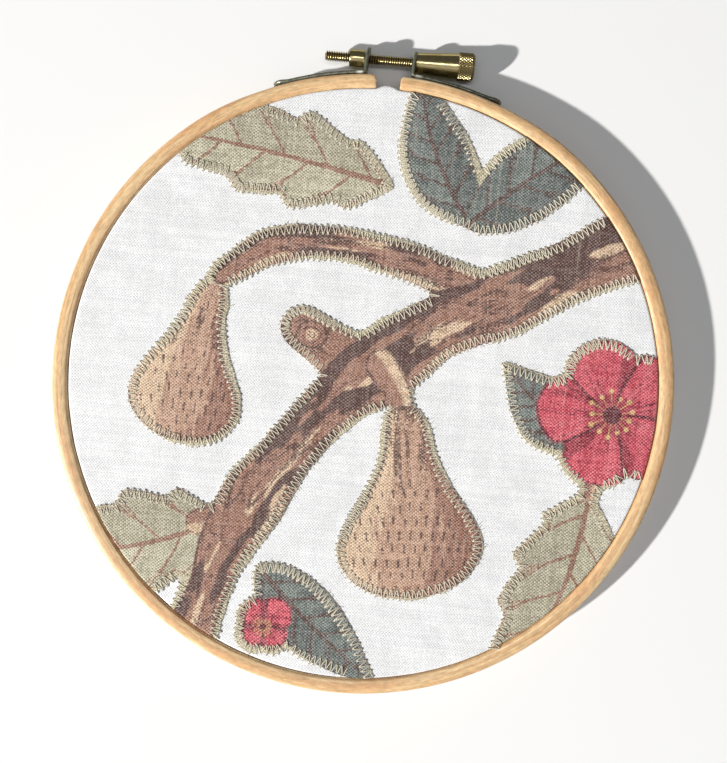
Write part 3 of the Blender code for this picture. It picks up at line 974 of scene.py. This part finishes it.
def paint_leaf(sheet, leaf, dyes, seed):
    """A leaf: one side of each vein washed darker, a midrib and a side vein to each tooth."""
    base, shade, vein = dyes
    *ends, half, bow, teeth = leaf
    edge = sheet.start(outline_edge(sheet.x, sheet.y, leaf_outline(leaf)), base)
    share, side, length = axis_place(sheet.x, sheet.y, ends, bow)
    off = np.abs(side) + 0.25 * soft_noise(sheet.x * 0.3, sheet.y * 0.3, seed)
    spacing = length / ((teeth or 6) + 1.2)
    stagger = np.where(side > 0, 0.0, 0.45) * spacing
    lean = share * length - 0.72 * off - 0.02 * off**2 + stagger
    turn = lean / spacing
    slope = 0.72 + 0.04 * off
    gap = np.abs(turn - np.round(turn)) * spacing
    near = gap / np.sqrt(1 + slope**2)
    wash = ramp(turn % 1, 0.5, 0.62) * (1 - ramp(turn % 1, 0.93, 1.0))
    fleck = soft_noise(lean * 0.5, off * 0.15, seed + 1)
    sheet.fill(0.75 * wash * ramp(off / half + 0.5 * fleck, 0.15, 0.5), shade)
    sheet.fill(0.6 * ramp(-side, 0, 0.5), shade)
    fade = ramp(turn, 0.4, 0.7) * (1 - ramp(share, 0.86, 0.96))
    thin = 0.36 * (1 - 0.65 * np.clip(off / half, 0, 1)) * fade
    sheet.draw(vein, np.maximum(near - thin, edge + 0.9) + (1 - fade))
    fork = np.abs(gap - 0.42 * (off - half * 0.4)) * 0.6 - 0.14
    sheet.draw(vein, np.maximum.reduce([fork, half * 0.4 - off, edge + 1.4]) + (1 - fade))
    rib = np.abs(side) - (0.26 + 0.5 * (1 - np.clip(share, 0, 1)))
    sheet.draw(vein, rib, edge + 0.4)
    sheet.outline(edge, vein, 0.24, seed + 2)


def paint_pear(sheet, pear, dyes, seed):
    """A pear: pale on one cheek, deepening across it, with staggered russet dashes."""
    base, deep, pale, vein = dyes
    *ends, width, bow = pear
    edge = sheet.start(outline_edge(sheet.x, sheet.y, pear_outline(pear)), base)
    share, side, length = axis_place(sheet.x, sheet.y, ends, bow)
    profile = smooth_run(PEAR_PROFILE, 5)
    half = np.interp(share, profile[:, 0], profile[:, 1]) * width / 2
    across = side / np.maximum(half, 1.0)
    way = share * length
    brush = 0.2 * soft_noise(side * 1.1, way * 0.16, seed) + 0.12 * soft_noise(side * 3, way * 0.5, seed + 1)
    tone = across + 0.25 * (share - 0.5) + brush
    sheet.fill(ramp(-tone, 0.38, 0.46), pale)
    sheet.fill(ramp(tone, 0.42, 0.5), BROWN)
    sheet.fill(ramp(tone, 0.82, 0.9), deep)
    row = np.floor(way / DASH_ROW)
    column = side / DASH_COLUMN + 0.5 * (row % 2)
    cell = np.floor(column)
    jitter = hashed(row, cell, seed + 2) - 0.5
    down = way - (row + 0.5) * DASH_ROW + jitter * 1.2
    aside = (column - cell - 0.5) * DASH_COLUMN + 0.5 * jitter + 0.25 * down * across
    long_half = 0.95 * (0.7 + 0.6 * hashed(cell, row, seed + 3))
    dash = np.hypot(np.maximum(np.abs(down) - long_half, 0), aside) - 0.26
    present = (share > 0.4 + 0.08 * jitter) & (hashed(row + 5, cell, seed + 4) > 0.12)
    sheet.draw(vein, np.where(present, np.maximum(dash, edge + 1.2), 2.0))
    hatch = np.abs(soft_noise(side * 0.9, way * 0.05, seed + 5)) * 1.2 - 0.14
    sheet.draw(vein, hatch, edge + 0.4, (share - 0.42 + 0.1 * brush) * length)
    below = (share - CALYX_SHARE) * length
    calyx = np.hypot(side, below * 1.5)
    star = 2.6 * (0.55 + 0.45 * np.cos(5 * np.arctan2(side, below)))
    sheet.draw(deep, calyx - star, edge + 0.1)
    sheet.outline(edge, vein, 0.36, seed + 6)


def paint_petals(sheet, flower, dyes, seed):
    """A round flower: each petal shaded at one side, fine veins, and a ring of stamens."""
    base, deep, pale, centre = dyes
    x, y, radius, petals = flower
    edge = sheet.start(outline_edge(sheet.x, sheet.y, petal_outline(flower)), base)
    far = np.hypot(sheet.x - x, sheet.y - y)
    turn = np.arctan2(sheet.y - y, sheet.x - x) % math.tau
    sway = 0.25 * soft_noise(far * 0.16, turn * 0, seed)
    petal = (turn + sway) * petals / math.tau
    part = petal % 1
    brush = 0.18 * soft_noise(far * 0.12, turn * 14, seed + 1)
    shaded = part + brush
    sheet.fill(1 - ramp(shaded, 0.16, 0.24), deep)
    sheet.fill(ramp(shaded, 0.62, 0.7) * (1 - ramp(shaded, 0.86, 0.92)), pale)
    sheet.fill(1 - ramp(far / radius + brush, 0.26, 0.34), deep)
    parting = np.minimum(part, 1 - part) * math.tau / petals * far - 0.3
    sheet.draw(centre, parting, edge + 0.2, 0.2 * radius - far)
    veins = np.abs((turn * 22 / math.tau * 2 + sway * 4) % 1 - 0.5) / 44 * math.tau * far - 0.05
    sheet.draw(centre, veins, 0.34 * radius - far, far - 0.74 * radius + 3 * brush * radius)
    sheet.draw(centre, far - 0.12 * radius)
    count = 13
    spoke = turn * count / math.tau
    reach = 0.27 * radius * (0.85 + 0.35 * hashed(np.floor(spoke), 0, seed + 2))
    aside = (spoke % 1 - 0.5) * math.tau / count * far
    sheet.draw(STAMEN, np.hypot(far - reach, aside) - 0.032 * radius)
    sheet.draw(STAMEN, np.abs(aside) - 0.1, far - reach, 0.12 * radius - far)
    sheet.outline(edge, centre, 0.3, seed + 3)


OUTLINES = {paint_leaf: leaf_outline, paint_pear: pear_outline, paint_petals: petal_outline}
WOOD_DYES = (BROWN, BARK, LIGHT_TAN)
SAGE_DYES = (SAGE, SAGE_SHADE, RUSSET)
SLATE_DYES = (SLATE, SLATE_SHADE, BARK)
PEAR_DYES = (ROSE_TAN, RUSSET, LIGHT_TAN, BARK)
CRIMSON_DYES = (CRIMSON, CRIMSON_SHADE, (214, 96, 108), (84, 30, 40))

# Cut-outs: node, slot, and the motifs from the lowest to the uppermost: painter, shape, dyes
CUT_OUTS = [
    ("applique_bough", "print_brown", [
        (paint_leaf, BOUGH_LEAF, SAGE_DYES),
        (paint_twig, LOWER_STALK, WOOD_DYES),
        (paint_bark, SIDE_LIMB, WOOD_DYES),
        (paint_bark, STUB, WOOD_DYES),
        (paint_bark, BOUGH, WOOD_DYES),
        (paint_twig, LARGE_STALK, WOOD_DYES),
        (paint_pear, SMALL_PEAR, PEAR_DYES),
        (paint_pear, LARGE_PEAR, PEAR_DYES),
    ]),
    ("applique_upper_leaf", "print_sage", [(paint_leaf, UPPER_LEAF, SAGE_DYES)]),
    ("applique_leaf_pair", "print_slate", [
        (paint_leaf, LEFT_SLATE_LEAF, SLATE_DYES),
        (paint_leaf, RIGHT_SLATE_LEAF, SLATE_DYES),
    ]),
    ("applique_blossom_spray", "print_crimson", [
        (paint_twig, SPRAY_STEM, WOOD_DYES),
        (paint_leaf, SPRAY_SAGE_LEAF, SAGE_DYES),
        (paint_leaf, SPRAY_SLATE_LEAF, SLATE_DYES),
        (paint_petals, BLOSSOM, CRIMSON_DYES),
    ]),
    ("applique_lower_leaf", "print_slate", [
        (paint_leaf, LOWER_SLATE_LEAF, SLATE_DYES),
        (paint_petals, BUD, CRIMSON_DYES),
    ]),
]
CUT_END = (-14.6, 11.6)
CUT_END_R = 4.0


# Cutting the pieces out
def motif_edge(x, y, paint, shape):
    """Signed distance past the edge of a motif: a band or a closed outline."""
    if paint in OUTLINES:
        return outline_edge(x, y, OUTLINES[paint](shape))
    return band_place(x, y, shape)[0]


def motif_box(paint, shape):
    if paint in OUTLINES:
        low = high = OUTLINES[paint](shape)
    else:
        places, half = np.array(shape)[:, :2], np.array(shape)[:, 2:]
        low, high = places - half, places + half
    return low.min(axis=0), high.max(axis=0)


def cut_field(motifs):
    """Distance past the cut edge on a grid over the hoop: round corners and a hand's unevenness."""
    side = np.arange(-RIM_R - 3, RIM_R + 3 + GRID, GRID)
    x, y = np.meshgrid(side, side)
    field = np.full(x.shape, 20.0)
    for paint, shape, _ in motifs:
        low, high = motif_box(paint, shape)
        near = (x > low[0] - 5) & (x < high[0] + 5) & (y > low[1] - 5) & (y < high[1] + 5)
        field[near] = np.minimum(field[near], motif_edge(x[near], y[near], paint, shape))
    for _ in range(ROUNDING_PASSES):
        padded = np.pad(field, 1, mode="edge")
        around = padded[:-2, 1:-1] + padded[2:, 1:-1] + padded[1:-1, :-2] + padded[1:-1, 2:]
        field = 0.5 * field + 0.125 * around
    field += 0.22 * soft_noise(x * 0.35, y * 0.35, 21) + 0.08 * soft_noise(x * 1.4, y * 1.4, 22)
    return side[0], np.maximum(field, np.hypot(x, y) - RIM_R)


def cut_grid(field):
    """Grid places and faces where a field is below zero, and the cut edges as loops.

    The faces at the edge are cut along the zero line. Each loop has the cloth at its left.
    """
    inside = field < 0
    number = np.full(field.shape, -1)
    number[inside] = np.arange(inside.sum())
    rows, columns = np.nonzero(inside)
    places, depths = [np.column_stack([columns, rows]).astype(float)], [field[inside]]
    count = len(rows)
    crossings = []
    for step_row, step_column in ((0, 1), (1, 0)):
        after = np.roll(field, (-step_row, -step_column), axis=(0, 1))
        j, i = np.nonzero(inside != (after < 0))
        share = np.clip(field[j, i] / (field[j, i] - after[j, i]), 0.04, 0.96)
        crossing = np.full(field.shape, -1)
        crossing[j, i] = count + np.arange(len(j))
        crossings.append(crossing)
        places.append(np.column_stack([i + share * step_column, j + share * step_row]))
        depths.append(np.zeros(len(j)))
        count += len(j)
    across, upward = crossings
    held = inside[:-1, :-1].astype(int) + inside[:-1, 1:] + inside[1:, 1:] + inside[1:, :-1]

    def corners(j, i):
        return [number[j, i], number[j, i + 1], number[j + 1, i + 1], number[j + 1, i]]

    faces = np.stack(corners(*np.nonzero(held == 4)), axis=-1).tolist()
    follow = {}
    for j, i in zip(*np.nonzero((held > 0) & (held < 4))):
        sides = [across[j, i], upward[j, i + 1], across[j + 1, i], upward[j, i]]
        face = [int(v) for pair in zip(corners(j, i), sides) for v in pair if v >= 0]
        first_crossing = len(rows)
        for a, b in zip(face, face[1:] + face[:1]):
            if a >= first_crossing and b >= first_crossing:
                follow[a] = b
        faces.append(face)
    loops = []
    while follow:
        loop = [next(iter(follow))]
        while loop[-1] in follow:
            loop.append(follow.pop(loop[-1]))
        loops.append(loop[:-1])
    return np.vstack(places), np.concatenate(depths), faces, loops


def least_box(points):
    """Width and length of the smallest turned rectangle round flat points."""
    best = None
    for turn in np.radians(np.arange(0, 90, 3)):
        across = points @ (math.cos(turn), math.sin(turn))
        along = points @ (-math.sin(turn), math.cos(turn))
        size = (np.ptp(across), np.ptp(along))
        if best is None or size[0] * size[1] < best[0] * best[1]:
            best = size
    return best


def close_under(shape, top_count):
    """Fill the underside between the lower rims, facing down."""
    rims = [edge for edge in shape.edges if all(v.index >= top_count for v in edge.verts)]
    filled = bmesh.ops.triangle_fill(shape, edges=rims, use_beauty=False)
    for item in filled["geom"]:
        if isinstance(item, bmesh.types.BMFace) and item.normal.z > 0:
            item.normal_flip()


def build_cut_out(node, slot, motifs):
    """One piece of printed linen, and the loops of its cut edge."""
    start, field = cut_field(motifs)
    places, depth, faces, loops = cut_grid(field)
    x, y = start + places[:, 0] * GRID, start + places[:, 1] * GRID
    quilted = 0.1 * ramp(-depth, 1.6, 4.0) - 0.05
    z = cloth_face(x, y) + APPLIQUE_THICK + quilted
    top = np.column_stack([x, y, z])
    count = len(top)
    lower = []
    for loop in loops:
        first = count + len(lower)
        lower += loop
        for k, (a, b) in enumerate(zip(loop, loop[1:] + loop[:1])):
            faces.append([b, a, first + k, first + (k + 1) % len(loop)])
    points = np.vstack([top, top[lower] - (0, 0, APPLIQUE_THICK - 0.04)])
    made = mesh_object(node.replace("applique_", "print_"), points, faces)
    sheet = Print(x, y)
    for number, (paint, shape, dyes) in enumerate(motifs):
        paint(sheet, shape, dyes, 31 + 10 * number)
    if node == "applique_bough":
        paint_cut_end(sheet, CUT_END, CUT_END_R, WOOD_DYES)
    inks = {"ink": sheet.ink, "mark_ink": sheet.mark_ink, "mark": np.clip(sheet.mark, -2, 2)}
    for name, values in inks.items():
        store(made.data, name, np.concatenate([values, values[lower]]))
    reshape(made, lambda shape: close_under(shape, count))
    made.data.shade_smooth()
    finish_piece(made, slot, LINEN, 50, stands_for=[node])
    area = (field < 0).sum() * GRID**2
    return made, least_box(top[:, :2]), area, [top[loop] for loop in loops]


# Sewing: what follows the cut edges
RUN_STEP = 0.4
SEWN_WANDER = 0.35
SEAM_LIFT = 0.02
FRAY_LIFT = 0.2


def even_loop(points, spacing):
    """The same closed loop with even steps, smoothed a little."""
    closed = np.vstack([points, points[:1]])
    steps = np.hypot(*np.diff(closed[:, :2], axis=0).T)
    way = np.concatenate([[0], np.cumsum(steps)])
    count = max(int(way[-1] / spacing), 8)
    at = np.linspace(0, way[-1], count, endpoint=False)
    even = np.column_stack([np.interp(at, way, closed[:, k]) for k in range(2)])
    for _ in range(3):
        even = 0.5 * even + 0.25 * (np.roll(even, 1, axis=0) + np.roll(even, -1, axis=0))
    return even


def edge_runs(loops, drift, seed):
    """Runs of a cut edge inside the ring: places, the way inwards, and whether each is closed."""
    runs = []
    for number, loop in enumerate(loops):
        even = even_loop(loop, RUN_STEP)
        ahead = np.roll(even, -2, axis=0) - np.roll(even, 2, axis=0)
        ahead /= np.maximum(np.hypot(*ahead.T), 1e-6)[:, None]
        inward = np.column_stack([-ahead[:, 1], ahead[:, 0]])
        wander = drift * soft_noise(np.arange(len(even)) * 0.05, np.full(len(even), number), seed)
        even = even + inward * wander[:, None]
        kept = np.hypot(*even.T) < RIM_R - 0.4
        if kept.all():
            runs.append((even, inward, True))
            continue
        turn = int(np.argmin(kept))
        even, inward, kept = (np.roll(a, -turn, axis=0) for a in (even, inward, kept))
        ends = np.flatnonzero(np.diff(np.concatenate([[0], kept.astype(int), [0]])))
        for first, last in zip(ends[::2], ends[1::2]):
            if last - first > 8:
                runs.append((even[first:last], inward[first:last], False))
    return runs


def second_passes(runs, rng):
    """Stretches that were sewn over twice."""
    passes = []
    for places, inward, _ in runs:
        at = int(rng.integers(10, 60))
        while at < len(places) - 40:
            length = int(rng.integers(20, 90))
            shift = rng.uniform(-0.25, 0.45)
            stretch = slice(at, min(at + length, len(places)))
            passes.append((places[stretch] + inward[stretch] * shift, inward[stretch], False))
            at += length + int(rng.integers(160, 480))
    return passes


def path_object(name, runs, lift):
    """Runs as chains of edges, with the way inwards kept at each point."""
    points, ways, edges = [], [], []
    for places, inward, closed in runs:
        chain = list(range(len(points), len(points) + len(places)))
        points += np.column_stack([places, cloth_face(*places.T) + lift]).tolist()
        ways += np.column_stack([inward, np.zeros(len(inward))]).tolist()
        edges += zip(chain, chain[1:] + chain[:1] if closed else chain[1:])
    mesh = new_mesh(name, points, edges, [])
    store(mesh, "inward", ways)
    return linked(name, mesh)


def geometry_tree(name, sizes):
    """A geometry node tree with a geometry and named sizes going in, and a geometry coming out."""
    return new_group("GeometryNodeTree", name, {"Geometry": None, **sizes}, {"Geometry": None})


def close_tree(tree, material, **values):
    """End a tree with instances on points, made real and given their material."""
    real = tree.add("RealizeInstances", Geometry=tree.add("InstanceOnPoints", **values))
    tree.put_out(tree.add("SetMaterial", Geometry=real, Material=material))
    return tree.data


def even_path(tree, given, step):
    """The input chains as curves with a point every step, and the way inwards there."""
    curve = tree.add("MeshToCurve", Mesh=given["Geometry"])
    path = tree.add("ResampleCurve", Curve=curve, Length=step, mode="LENGTH")
    inward = tree.add("InputNamedAttribute", Name="inward", data_type="FLOAT_VECTOR")
    return path, tree.calc("NORMALIZE", inward)


def metre_line(tree, points):
    """A line one metre long along X, and the share of the way along it."""
    line = tree.add("CurvePrimitiveLine", Start=(0, 0, 0), End=(1, 0, 0))
    line = tree.add("ResampleCurve", Curve=line, Count=points, mode="COUNT")
    return line, tree.add("SplineParameter")


def thread_tube(tree, size):
    """A thread one metre long along X, arched over the cloth, its ends drawn down into it."""
    line, share = metre_line(tree, size["Points"])
    crowded = tree.calc("COSINE", share * math.pi)
    x = crowded * -0.5 + 0.5
    z = size["Lift"] - abs(crowded) ** 7.0 * (size["Lift"] + size["Dip"])
    line = tree.add("SetPosition", Geometry=line, Position=tree.xyz(x, 0.0, z))
    line = tree.keep(line, "run", x)
    ring = tree.add("CurvePrimitiveCircle", Resolution=size["Sides"], Radius=size["Thread"])
    ring = tree.keep(ring, "round", tree.calc("NORMALIZE", tree.add("InputPosition")))
    return tree.add("CurveToMesh", Curve=line, Profile_Curve=ring)


def zigzag_tree():
    """Machine zigzag along a path: a leg of thread between each two needle holes."""
    tree, size = geometry_tree("zigzag", {
        "Pitch": 0.00155, "Inner": 0.0025, "Outer": 0.00065, "Uneven": 0.00014, "Step up": 0.0003,
        "Thread": 0.00016, "Lift": 0.00013, "Dip": 0.00028, "Points": 8, "Sides": 6, "Seed": 1,
    })

    def uneven(step):
        return tree.random(size["Uneven"] * -1.0, size["Uneven"], size["Seed"] + step)

    path, inward = even_path(tree, size, size["Pitch"] * 0.5)
    index, here = tree.add("InputIndex"), tree.add("InputPosition")
    inner = index % 2.0
    reach = inner.between(size["Outer"] * -1.0, size["Inner"]) + uneven(0.0)
    aside = tree.calc("CROSS_PRODUCT", inward, (0, 0, 1)) * uneven(7.0)
    offset = inward * reach + aside + tree.xyz(z=inner * size["Step up"])
    holes = tree.add("SetPosition", Geometry=path, Offset=offset)
    holes = tree.keep(holes, "turned", inner)
    leg = tree.add("FieldAtIndex", Value=here, Index=index + 1.0, data_type="FLOAT_VECTOR") - here
    turn = tree.add("AlignRotationToVector", Vector=leg, axis="X")
    turn = tree.add("AlignRotationToVector", Rotation=turn, Vector=(0, 0, 1), axis="Z", pivot_axis="X")
    roll = tree.xyz(tree.random(-0.5, 0.5, size["Seed"] + 13.0))
    turn = tree.add("RotateRotation", Rotation=turn, Rotate_By=roll, rotation_space="LOCAL")
    last = tree.add("CurveEndpointSelection", Start_Size=0, End_Size=1)
    return close_tree(
        tree, THREAD, Points=holes, Selection=tree.add("BooleanMath", last, operation="NOT"),
        Instance=thread_tube(tree, size), Rotation=turn,
        Scale=tree.xyz(tree.calc("LENGTH", leg, out="Value"), 1.0, 1.0),
    )


def fray_tree():
    """Loose ends of linen that stand out from the cut edge."""
    tree, size = geometry_tree("fray", {"Spacing": 0.0005, "Length": 0.0008, "Thread": 0.00005, "Seed": 3})
    path, inward = even_path(tree, size, size["Spacing"])
    ranges = [(-1.3, 1.3), (-0.5, 0.1), (0.35, 1.3), (-1.0, 1.0), (0.0, 1.0)]
    swing, rise, share_long, hand, luck = [
        tree.random(low, high, size["Seed"] + float(k)) for k, (low, high) in enumerate(ranges)
    ]
    turn = tree.add("AlignRotationToVector", Vector=inward * -1.0, axis="X")
    tilt = tree.xyz(0.0, rise, swing)
    turn = tree.add("RotateRotation", Rotation=turn, Rotate_By=tilt, rotation_space="LOCAL")
    line, share = metre_line(tree, 4)
    line = tree.add("SetPosition", Geometry=line, Offset=tree.xyz(0.0, share**2.0 * 0.35))
    ring = tree.add("CurvePrimitiveCircle", Resolution=3, Radius=size["Thread"] / size["Length"])
    hair = tree.add("CurveToMesh", Curve=line, Profile_Curve=ring)
    long = size["Length"] * share_long
    return close_tree(
        tree, FRAY, Points=path, Selection=tree.calc("LESS_THAN", luck, 0.45), Instance=hair,
        Rotation=turn, Scale=tree.xyz(long, tree.calc("SIGN", hand) * long, size["Length"]),
    )


def grown(name, source, tree, values, slot="stitch_thread", body="hoop"):
    """The plain mesh that a node tree makes from a source, as a finished piece."""
    modifier = source.modifiers.new(name, "NODES")
    modifier.node_group = tree
    for item in tree.interface.items_tree:
        if item.in_out == "INPUT" and item.name in values:
            modifier[item.identifier] = values[item.name]
    return finish_piece(evaluated(name, source), slot, body=body)


def build_cut_outs():
    """Each cut-out with its zigzag, the bobbin thread under the ground cloth, and its frayed edge."""
    zigzag, fray = zigzag_tree(), fray_tree()
    rng = np.random.default_rng(12)
    under_runs = []
    for number, (node, slot, motifs) in enumerate(CUT_OUTS):
        made, box, area, loops = build_cut_out(node, slot, motifs)
        runs = edge_runs(loops, SEWN_WANDER, 40 + number)
        under_runs += runs
        short = node.replace("applique_", "")
        seam = path_object(f"seam_{short}", runs + second_passes(runs, rng), SEAM_LIFT)
        sewing = grown(f"sewing_{short}", seam, zigzag, {"Seed": number + 1})
        cut_edge = path_object(f"cut_edge_{short}", edge_runs(loops, 0.0, 1), FRAY_LIFT)
        threads = grown(f"fray_{short}", cut_edge, fray, {"Seed": 20 + number}, slot)
    seam = path_object("seam_underside", under_runs, -GROUND_THICK - SEAM_LIFT)
    grown("sewing_underside", seam, zigzag, {
        "Seed": 9, "Step up": 0.0, "Lift": -0.0001, "Dip": -0.0002, "Thread": 0.00015,
        "Points": 4, "Sides": 4,
    })


build_cut_outs()


# Clamp: straps, nut and thumbscrew, all round the screw's axis along X
def outward(made):
    """Turn every face of a closed piece outwards."""
    reshape(made, lambda shape: bmesh.ops.recalc_face_normals(shape, faces=shape.faces))


def turned_piece(name, rows, columns, sharp=35, closed=False, **finish):
    """Brass rows of x, radius and painted shade with soil, turned round the screw's axis; the last two may
    vary in a row.
    """
    turns = np.linspace(0, math.tau, columns, endpoint=False)
    points, shaded_and_soiled = [], []
    for x, radius, *shade_and_soil in rows:
        y, z = SCREW_Y + radius * np.sin(turns), SCREW_Z + radius * np.cos(turns)
        points.append(np.column_stack([np.full(columns, float(x)), y, z]))
        shaded_and_soiled.append(np.zeros(columns) + (shade_and_soil[0] if shade_and_soil else 0.0))
    faces = grid_faces(len(rows), columns, close_rows=closed)
    if not closed:
        faces += end_caps(len(rows), columns)
    made = mesh_object(name, np.vstack(points), faces)
    outward(made)
    store(made.data, "shade_and_soil", np.concatenate(shaded_and_soiled))
    return finish_piece(made, "brass", BRASS, sharp, **finish)


def rod_rows():
    """The threaded rod, from its tail into the barrel."""
    turns = np.linspace(0, math.tau, ROD_COLUMNS, endpoint=False)
    rows = []
    for x in np.arange(SCREW_TAIL, BARREL_START + 0.3, THREAD_PITCH / 8):
        phase = (x / THREAD_PITCH - turns / math.tau) % 1
        crest = np.clip(1.15 * np.abs(2 * phase - 1), 0, 1)
        chamfer = 0.35 * (1 - ramp(x - SCREW_TAIL, 0, 0.5))
        # Painted shade with soil, darkest in the roots of the thread
        rows.append((x, SCREW_R - THREAD_DEPTH * (1 - crest) - chamfer, 0.92 * (1 - crest**2)))
    return rows


def barrel_rows():
    """Smooth barrel, a fine collar, the core of the knurled head, and its domed end."""
    head = BARREL_START + BARREL_LENGTH
    rows = [(BARREL_START, 1.3), (BARREL_START, BARREL_R - 0.25), (BARREL_START + 0.1, BARREL_R - 0.07)]
    for share in np.linspace(0, 1, 9):
        rows.append((BARREL_START + 0.3 + share * (BARREL_LENGTH - 0.5), BARREL_R + BARREL_FLARE * share))
    # The knurl's core gets painted shade with soil between the studs; the domed end is painted darker as
    # shade
    rows += [(head - 0.05, HEAD_R - 0.42), (head + 0.12, HEAD_R - 0.22), (head + 0.3, KNURL_CORE, 0.9)]
    for turn in np.radians(np.arange(0, 90, 10)):
        rows.append((SCREW_END - 0.6 * (1 - math.sin(turn)), KNURL_CORE - 0.8 * (1 - math.cos(turn)), 0.6))
    rows += [(SCREW_END, HEAD_R - 1.5), (SCREW_END - 0.06, 0.5)]
    return rows


def knurl_tree(sizes):
    """Small pyramids in staggered rows round a head, as a knurling wheel presses them."""
    tree, size = geometry_tree("knurl", sizes)
    index = tree.add("InputIndex")
    row = tree.calc("FLOOR", index / size["Around"])
    turn = (index + row % 2.0 * 0.5) / size["Around"] * math.tau
    y, z = [tree.calc(wave, turn) * size["Radius"] for wave in ("SINE", "COSINE")]
    axis = (0, (SCREW_Y + CENTRE_Y) * MM, SCREW_Z * MM)
    place = tree.xyz(size["Start"] + row * size["Step"], y, z) + axis
    points = tree.add("Points", Count=size["Around"] * size["Rows"], Position=place)
    wide = size["Radius"] / size["Around"] * math.pi
    stud = tree.add(
        "MeshCone", Vertices=4, Side_Segments=1, Radius_Top=wide * 0.28, Radius_Bottom=wide * 0.9,
        Depth=size["Height"],
    )
    # Each stud is darker towards its foot: painted shade with soil between the studs
    shade_and_soil = tree.add("SeparateXYZ", tree.add("InputPosition"))["Z"] / size["Height"] * -0.9 + 1.0
    return close_tree(
        tree, BRASS, Points=points, Instance=tree.keep(stud, "shade_and_soil", shade_and_soil),
        Scale=tree.xyz(size["Step"] / wide, 1.0, 1.0),
        Rotation=tree.add("EulerToRotation", tree.xyz(turn * -1.0)),
    )


def build_thumbscrew():
    turned_piece("screw_rod", rod_rows(), ROD_COLUMNS, 60, body="thumbscrew")
    turned_piece("screw_barrel", barrel_rows(), 72, body="thumbscrew", stands_for=["thumbscrew"])
    head = BARREL_START + BARREL_LENGTH + 0.42
    step = (SCREW_END - 0.85 - head) / (KNURL_ROWS - 1)
    tree = knurl_tree({
        "Start": head * MM, "Step": step * MM, "Radius": (KNURL_CORE - 0.02) * MM,
        "Height": (HEAD_R - KNURL_CORE) * MM, "Around": KNURLS_AROUND, "Rows": KNURL_ROWS,
    })
    source = mesh_object("knurl_source", [(0, 0, 0)], [])
    knurl = grown("screw_knurl", source, tree, {}, "brass", "thumbscrew")
    knurl.data.shade_flat()


def build_nut():
    """A plain turned nut against the left ear."""
    low, high, radius, edge = nut_low[0], nut_high[0], (nut_high[2] - nut_low[2]) / 2, 0.25
    profile = [(0, SCREW_R + 0.15), (0, radius - edge), (0.08, radius - 0.08), (edge, radius)]
    rows = [(high - x, r) for x, r in profile] + [(low + x, r) for x, r in profile[::-1]]
    turned_piece("turned_nut", rows, 56, closed=True, stands_for=["clamp_nut"])


def strap_path(side):
    """Middle line of a strap: a lifted end, along the ring's outer wall, and up into the ear."""
    radius = RING_OUT + STRAP_OUT - STRAP_THICK / 2
    ear_x = EAR_SPACE / 2 + STRAP_THICK / 2
    far = math.degrees(STRAP_REACH / radius)
    near = math.degrees(math.asin((ear_x + STRAP_BEND) / radius))
    points = []
    for turn in np.linspace(90 - far, 90 - near, 40):
        lift = 0.7 * (1 - ramp(turn - (90 - far), 0, 3.2))
        points += arc((0, 0), radius + lift, turn, turn, 0)
    foot = (ear_x + STRAP_BEND, points[-1][1] + STRAP_BEND)
    points += arc(foot, STRAP_BEND, 270, 180, 10)[1:]
    base = points[-1]
    rise = strap_high[1] - CENTRE_Y - base[1]
    for share in np.linspace(0, 1, 14)[1:]:
        points.append((base[0] + side * EAR_LEAN * share**2, base[1] + rise * share))
    return np.array([(side * x, y) for x, y in points])


def build_strap(name, side):
    """A bent strap with round ends, and the screw's hole drilled through its ear."""
    path = strap_path(side)
    way = np.concatenate([[0], np.cumsum(np.hypot(*np.diff(path, axis=0).T))])
    ahead = np.gradient(path, axis=0)
    ahead /= np.hypot(*ahead.T)[:, None]
    full, edge = STRAP_WIDTH / 2, 0.4
    fold = way[-1] - (strap_high[1] - CENTRE_Y - RING_OUT)
    points, bend_glint = [], []
    for place, turn, run in zip(path, ahead, way):
        inset = max(0.0, 1 - (min(run, way[-1] - run) + 0.15) / full)
        half = full * math.sqrt(1 - inset**2)
        section = []
        for x, y, start in [(1, 1, 0), (-1, 1, 90), (-1, -1, 180), (1, -1, 270)]:
            corner = (x * (STRAP_THICK / 2 - edge), y * (half - edge))
            section += arc(corner, edge, start, start + 90, 3)
        for off, height in section:
            points.append((place[0] - turn[1] * off, place[1] + turn[0] * off, CLAMP_Z + height))
        # Where the painted highlight lies: near the fold into the ear
        bend_glint += [1 - ramp(abs(run - fold + 1.0), 0.4, 1.1)] * len(section)
    faces = grid_faces(len(path), len(section)) + end_caps(len(path), len(section))
    strap = mesh_object(name + "_solid", points, faces)
    store(strap.data, "bend_glint", bend_glint)
    outward(strap)
    hole = linked(name + "_drill", bpy.data.meshes.new(name + "_drill"))
    middle = Matrix.Translation((side * 6 * MM, (SCREW_Y + CENTRE_Y) * MM, SCREW_Z * MM))
    size = {"radius1": EAR_HOLE_R * MM, "radius2": EAR_HOLE_R * MM, "depth": 4 * MM}
    turned = middle @ Matrix.Rotation(math.pi / 2, 4, "Y")
    reshape(hole, lambda shape: bmesh.ops.create_cone(
        shape, cap_ends=True, segments=36, matrix=turned, **size
    ))
    strap.modifiers.new("hole", "BOOLEAN").object = hole
    made = evaluated(name + "_bent", strap)
    bpy.data.objects.remove(hole)
    made.data.materials.clear()
    finish_piece(made, "plated_steel", STEEL, 40, stands_for=[name])


build_thumbscrew()
build_nut()
build_strap("strap_left", -1)
build_strap("strap_right", 1)
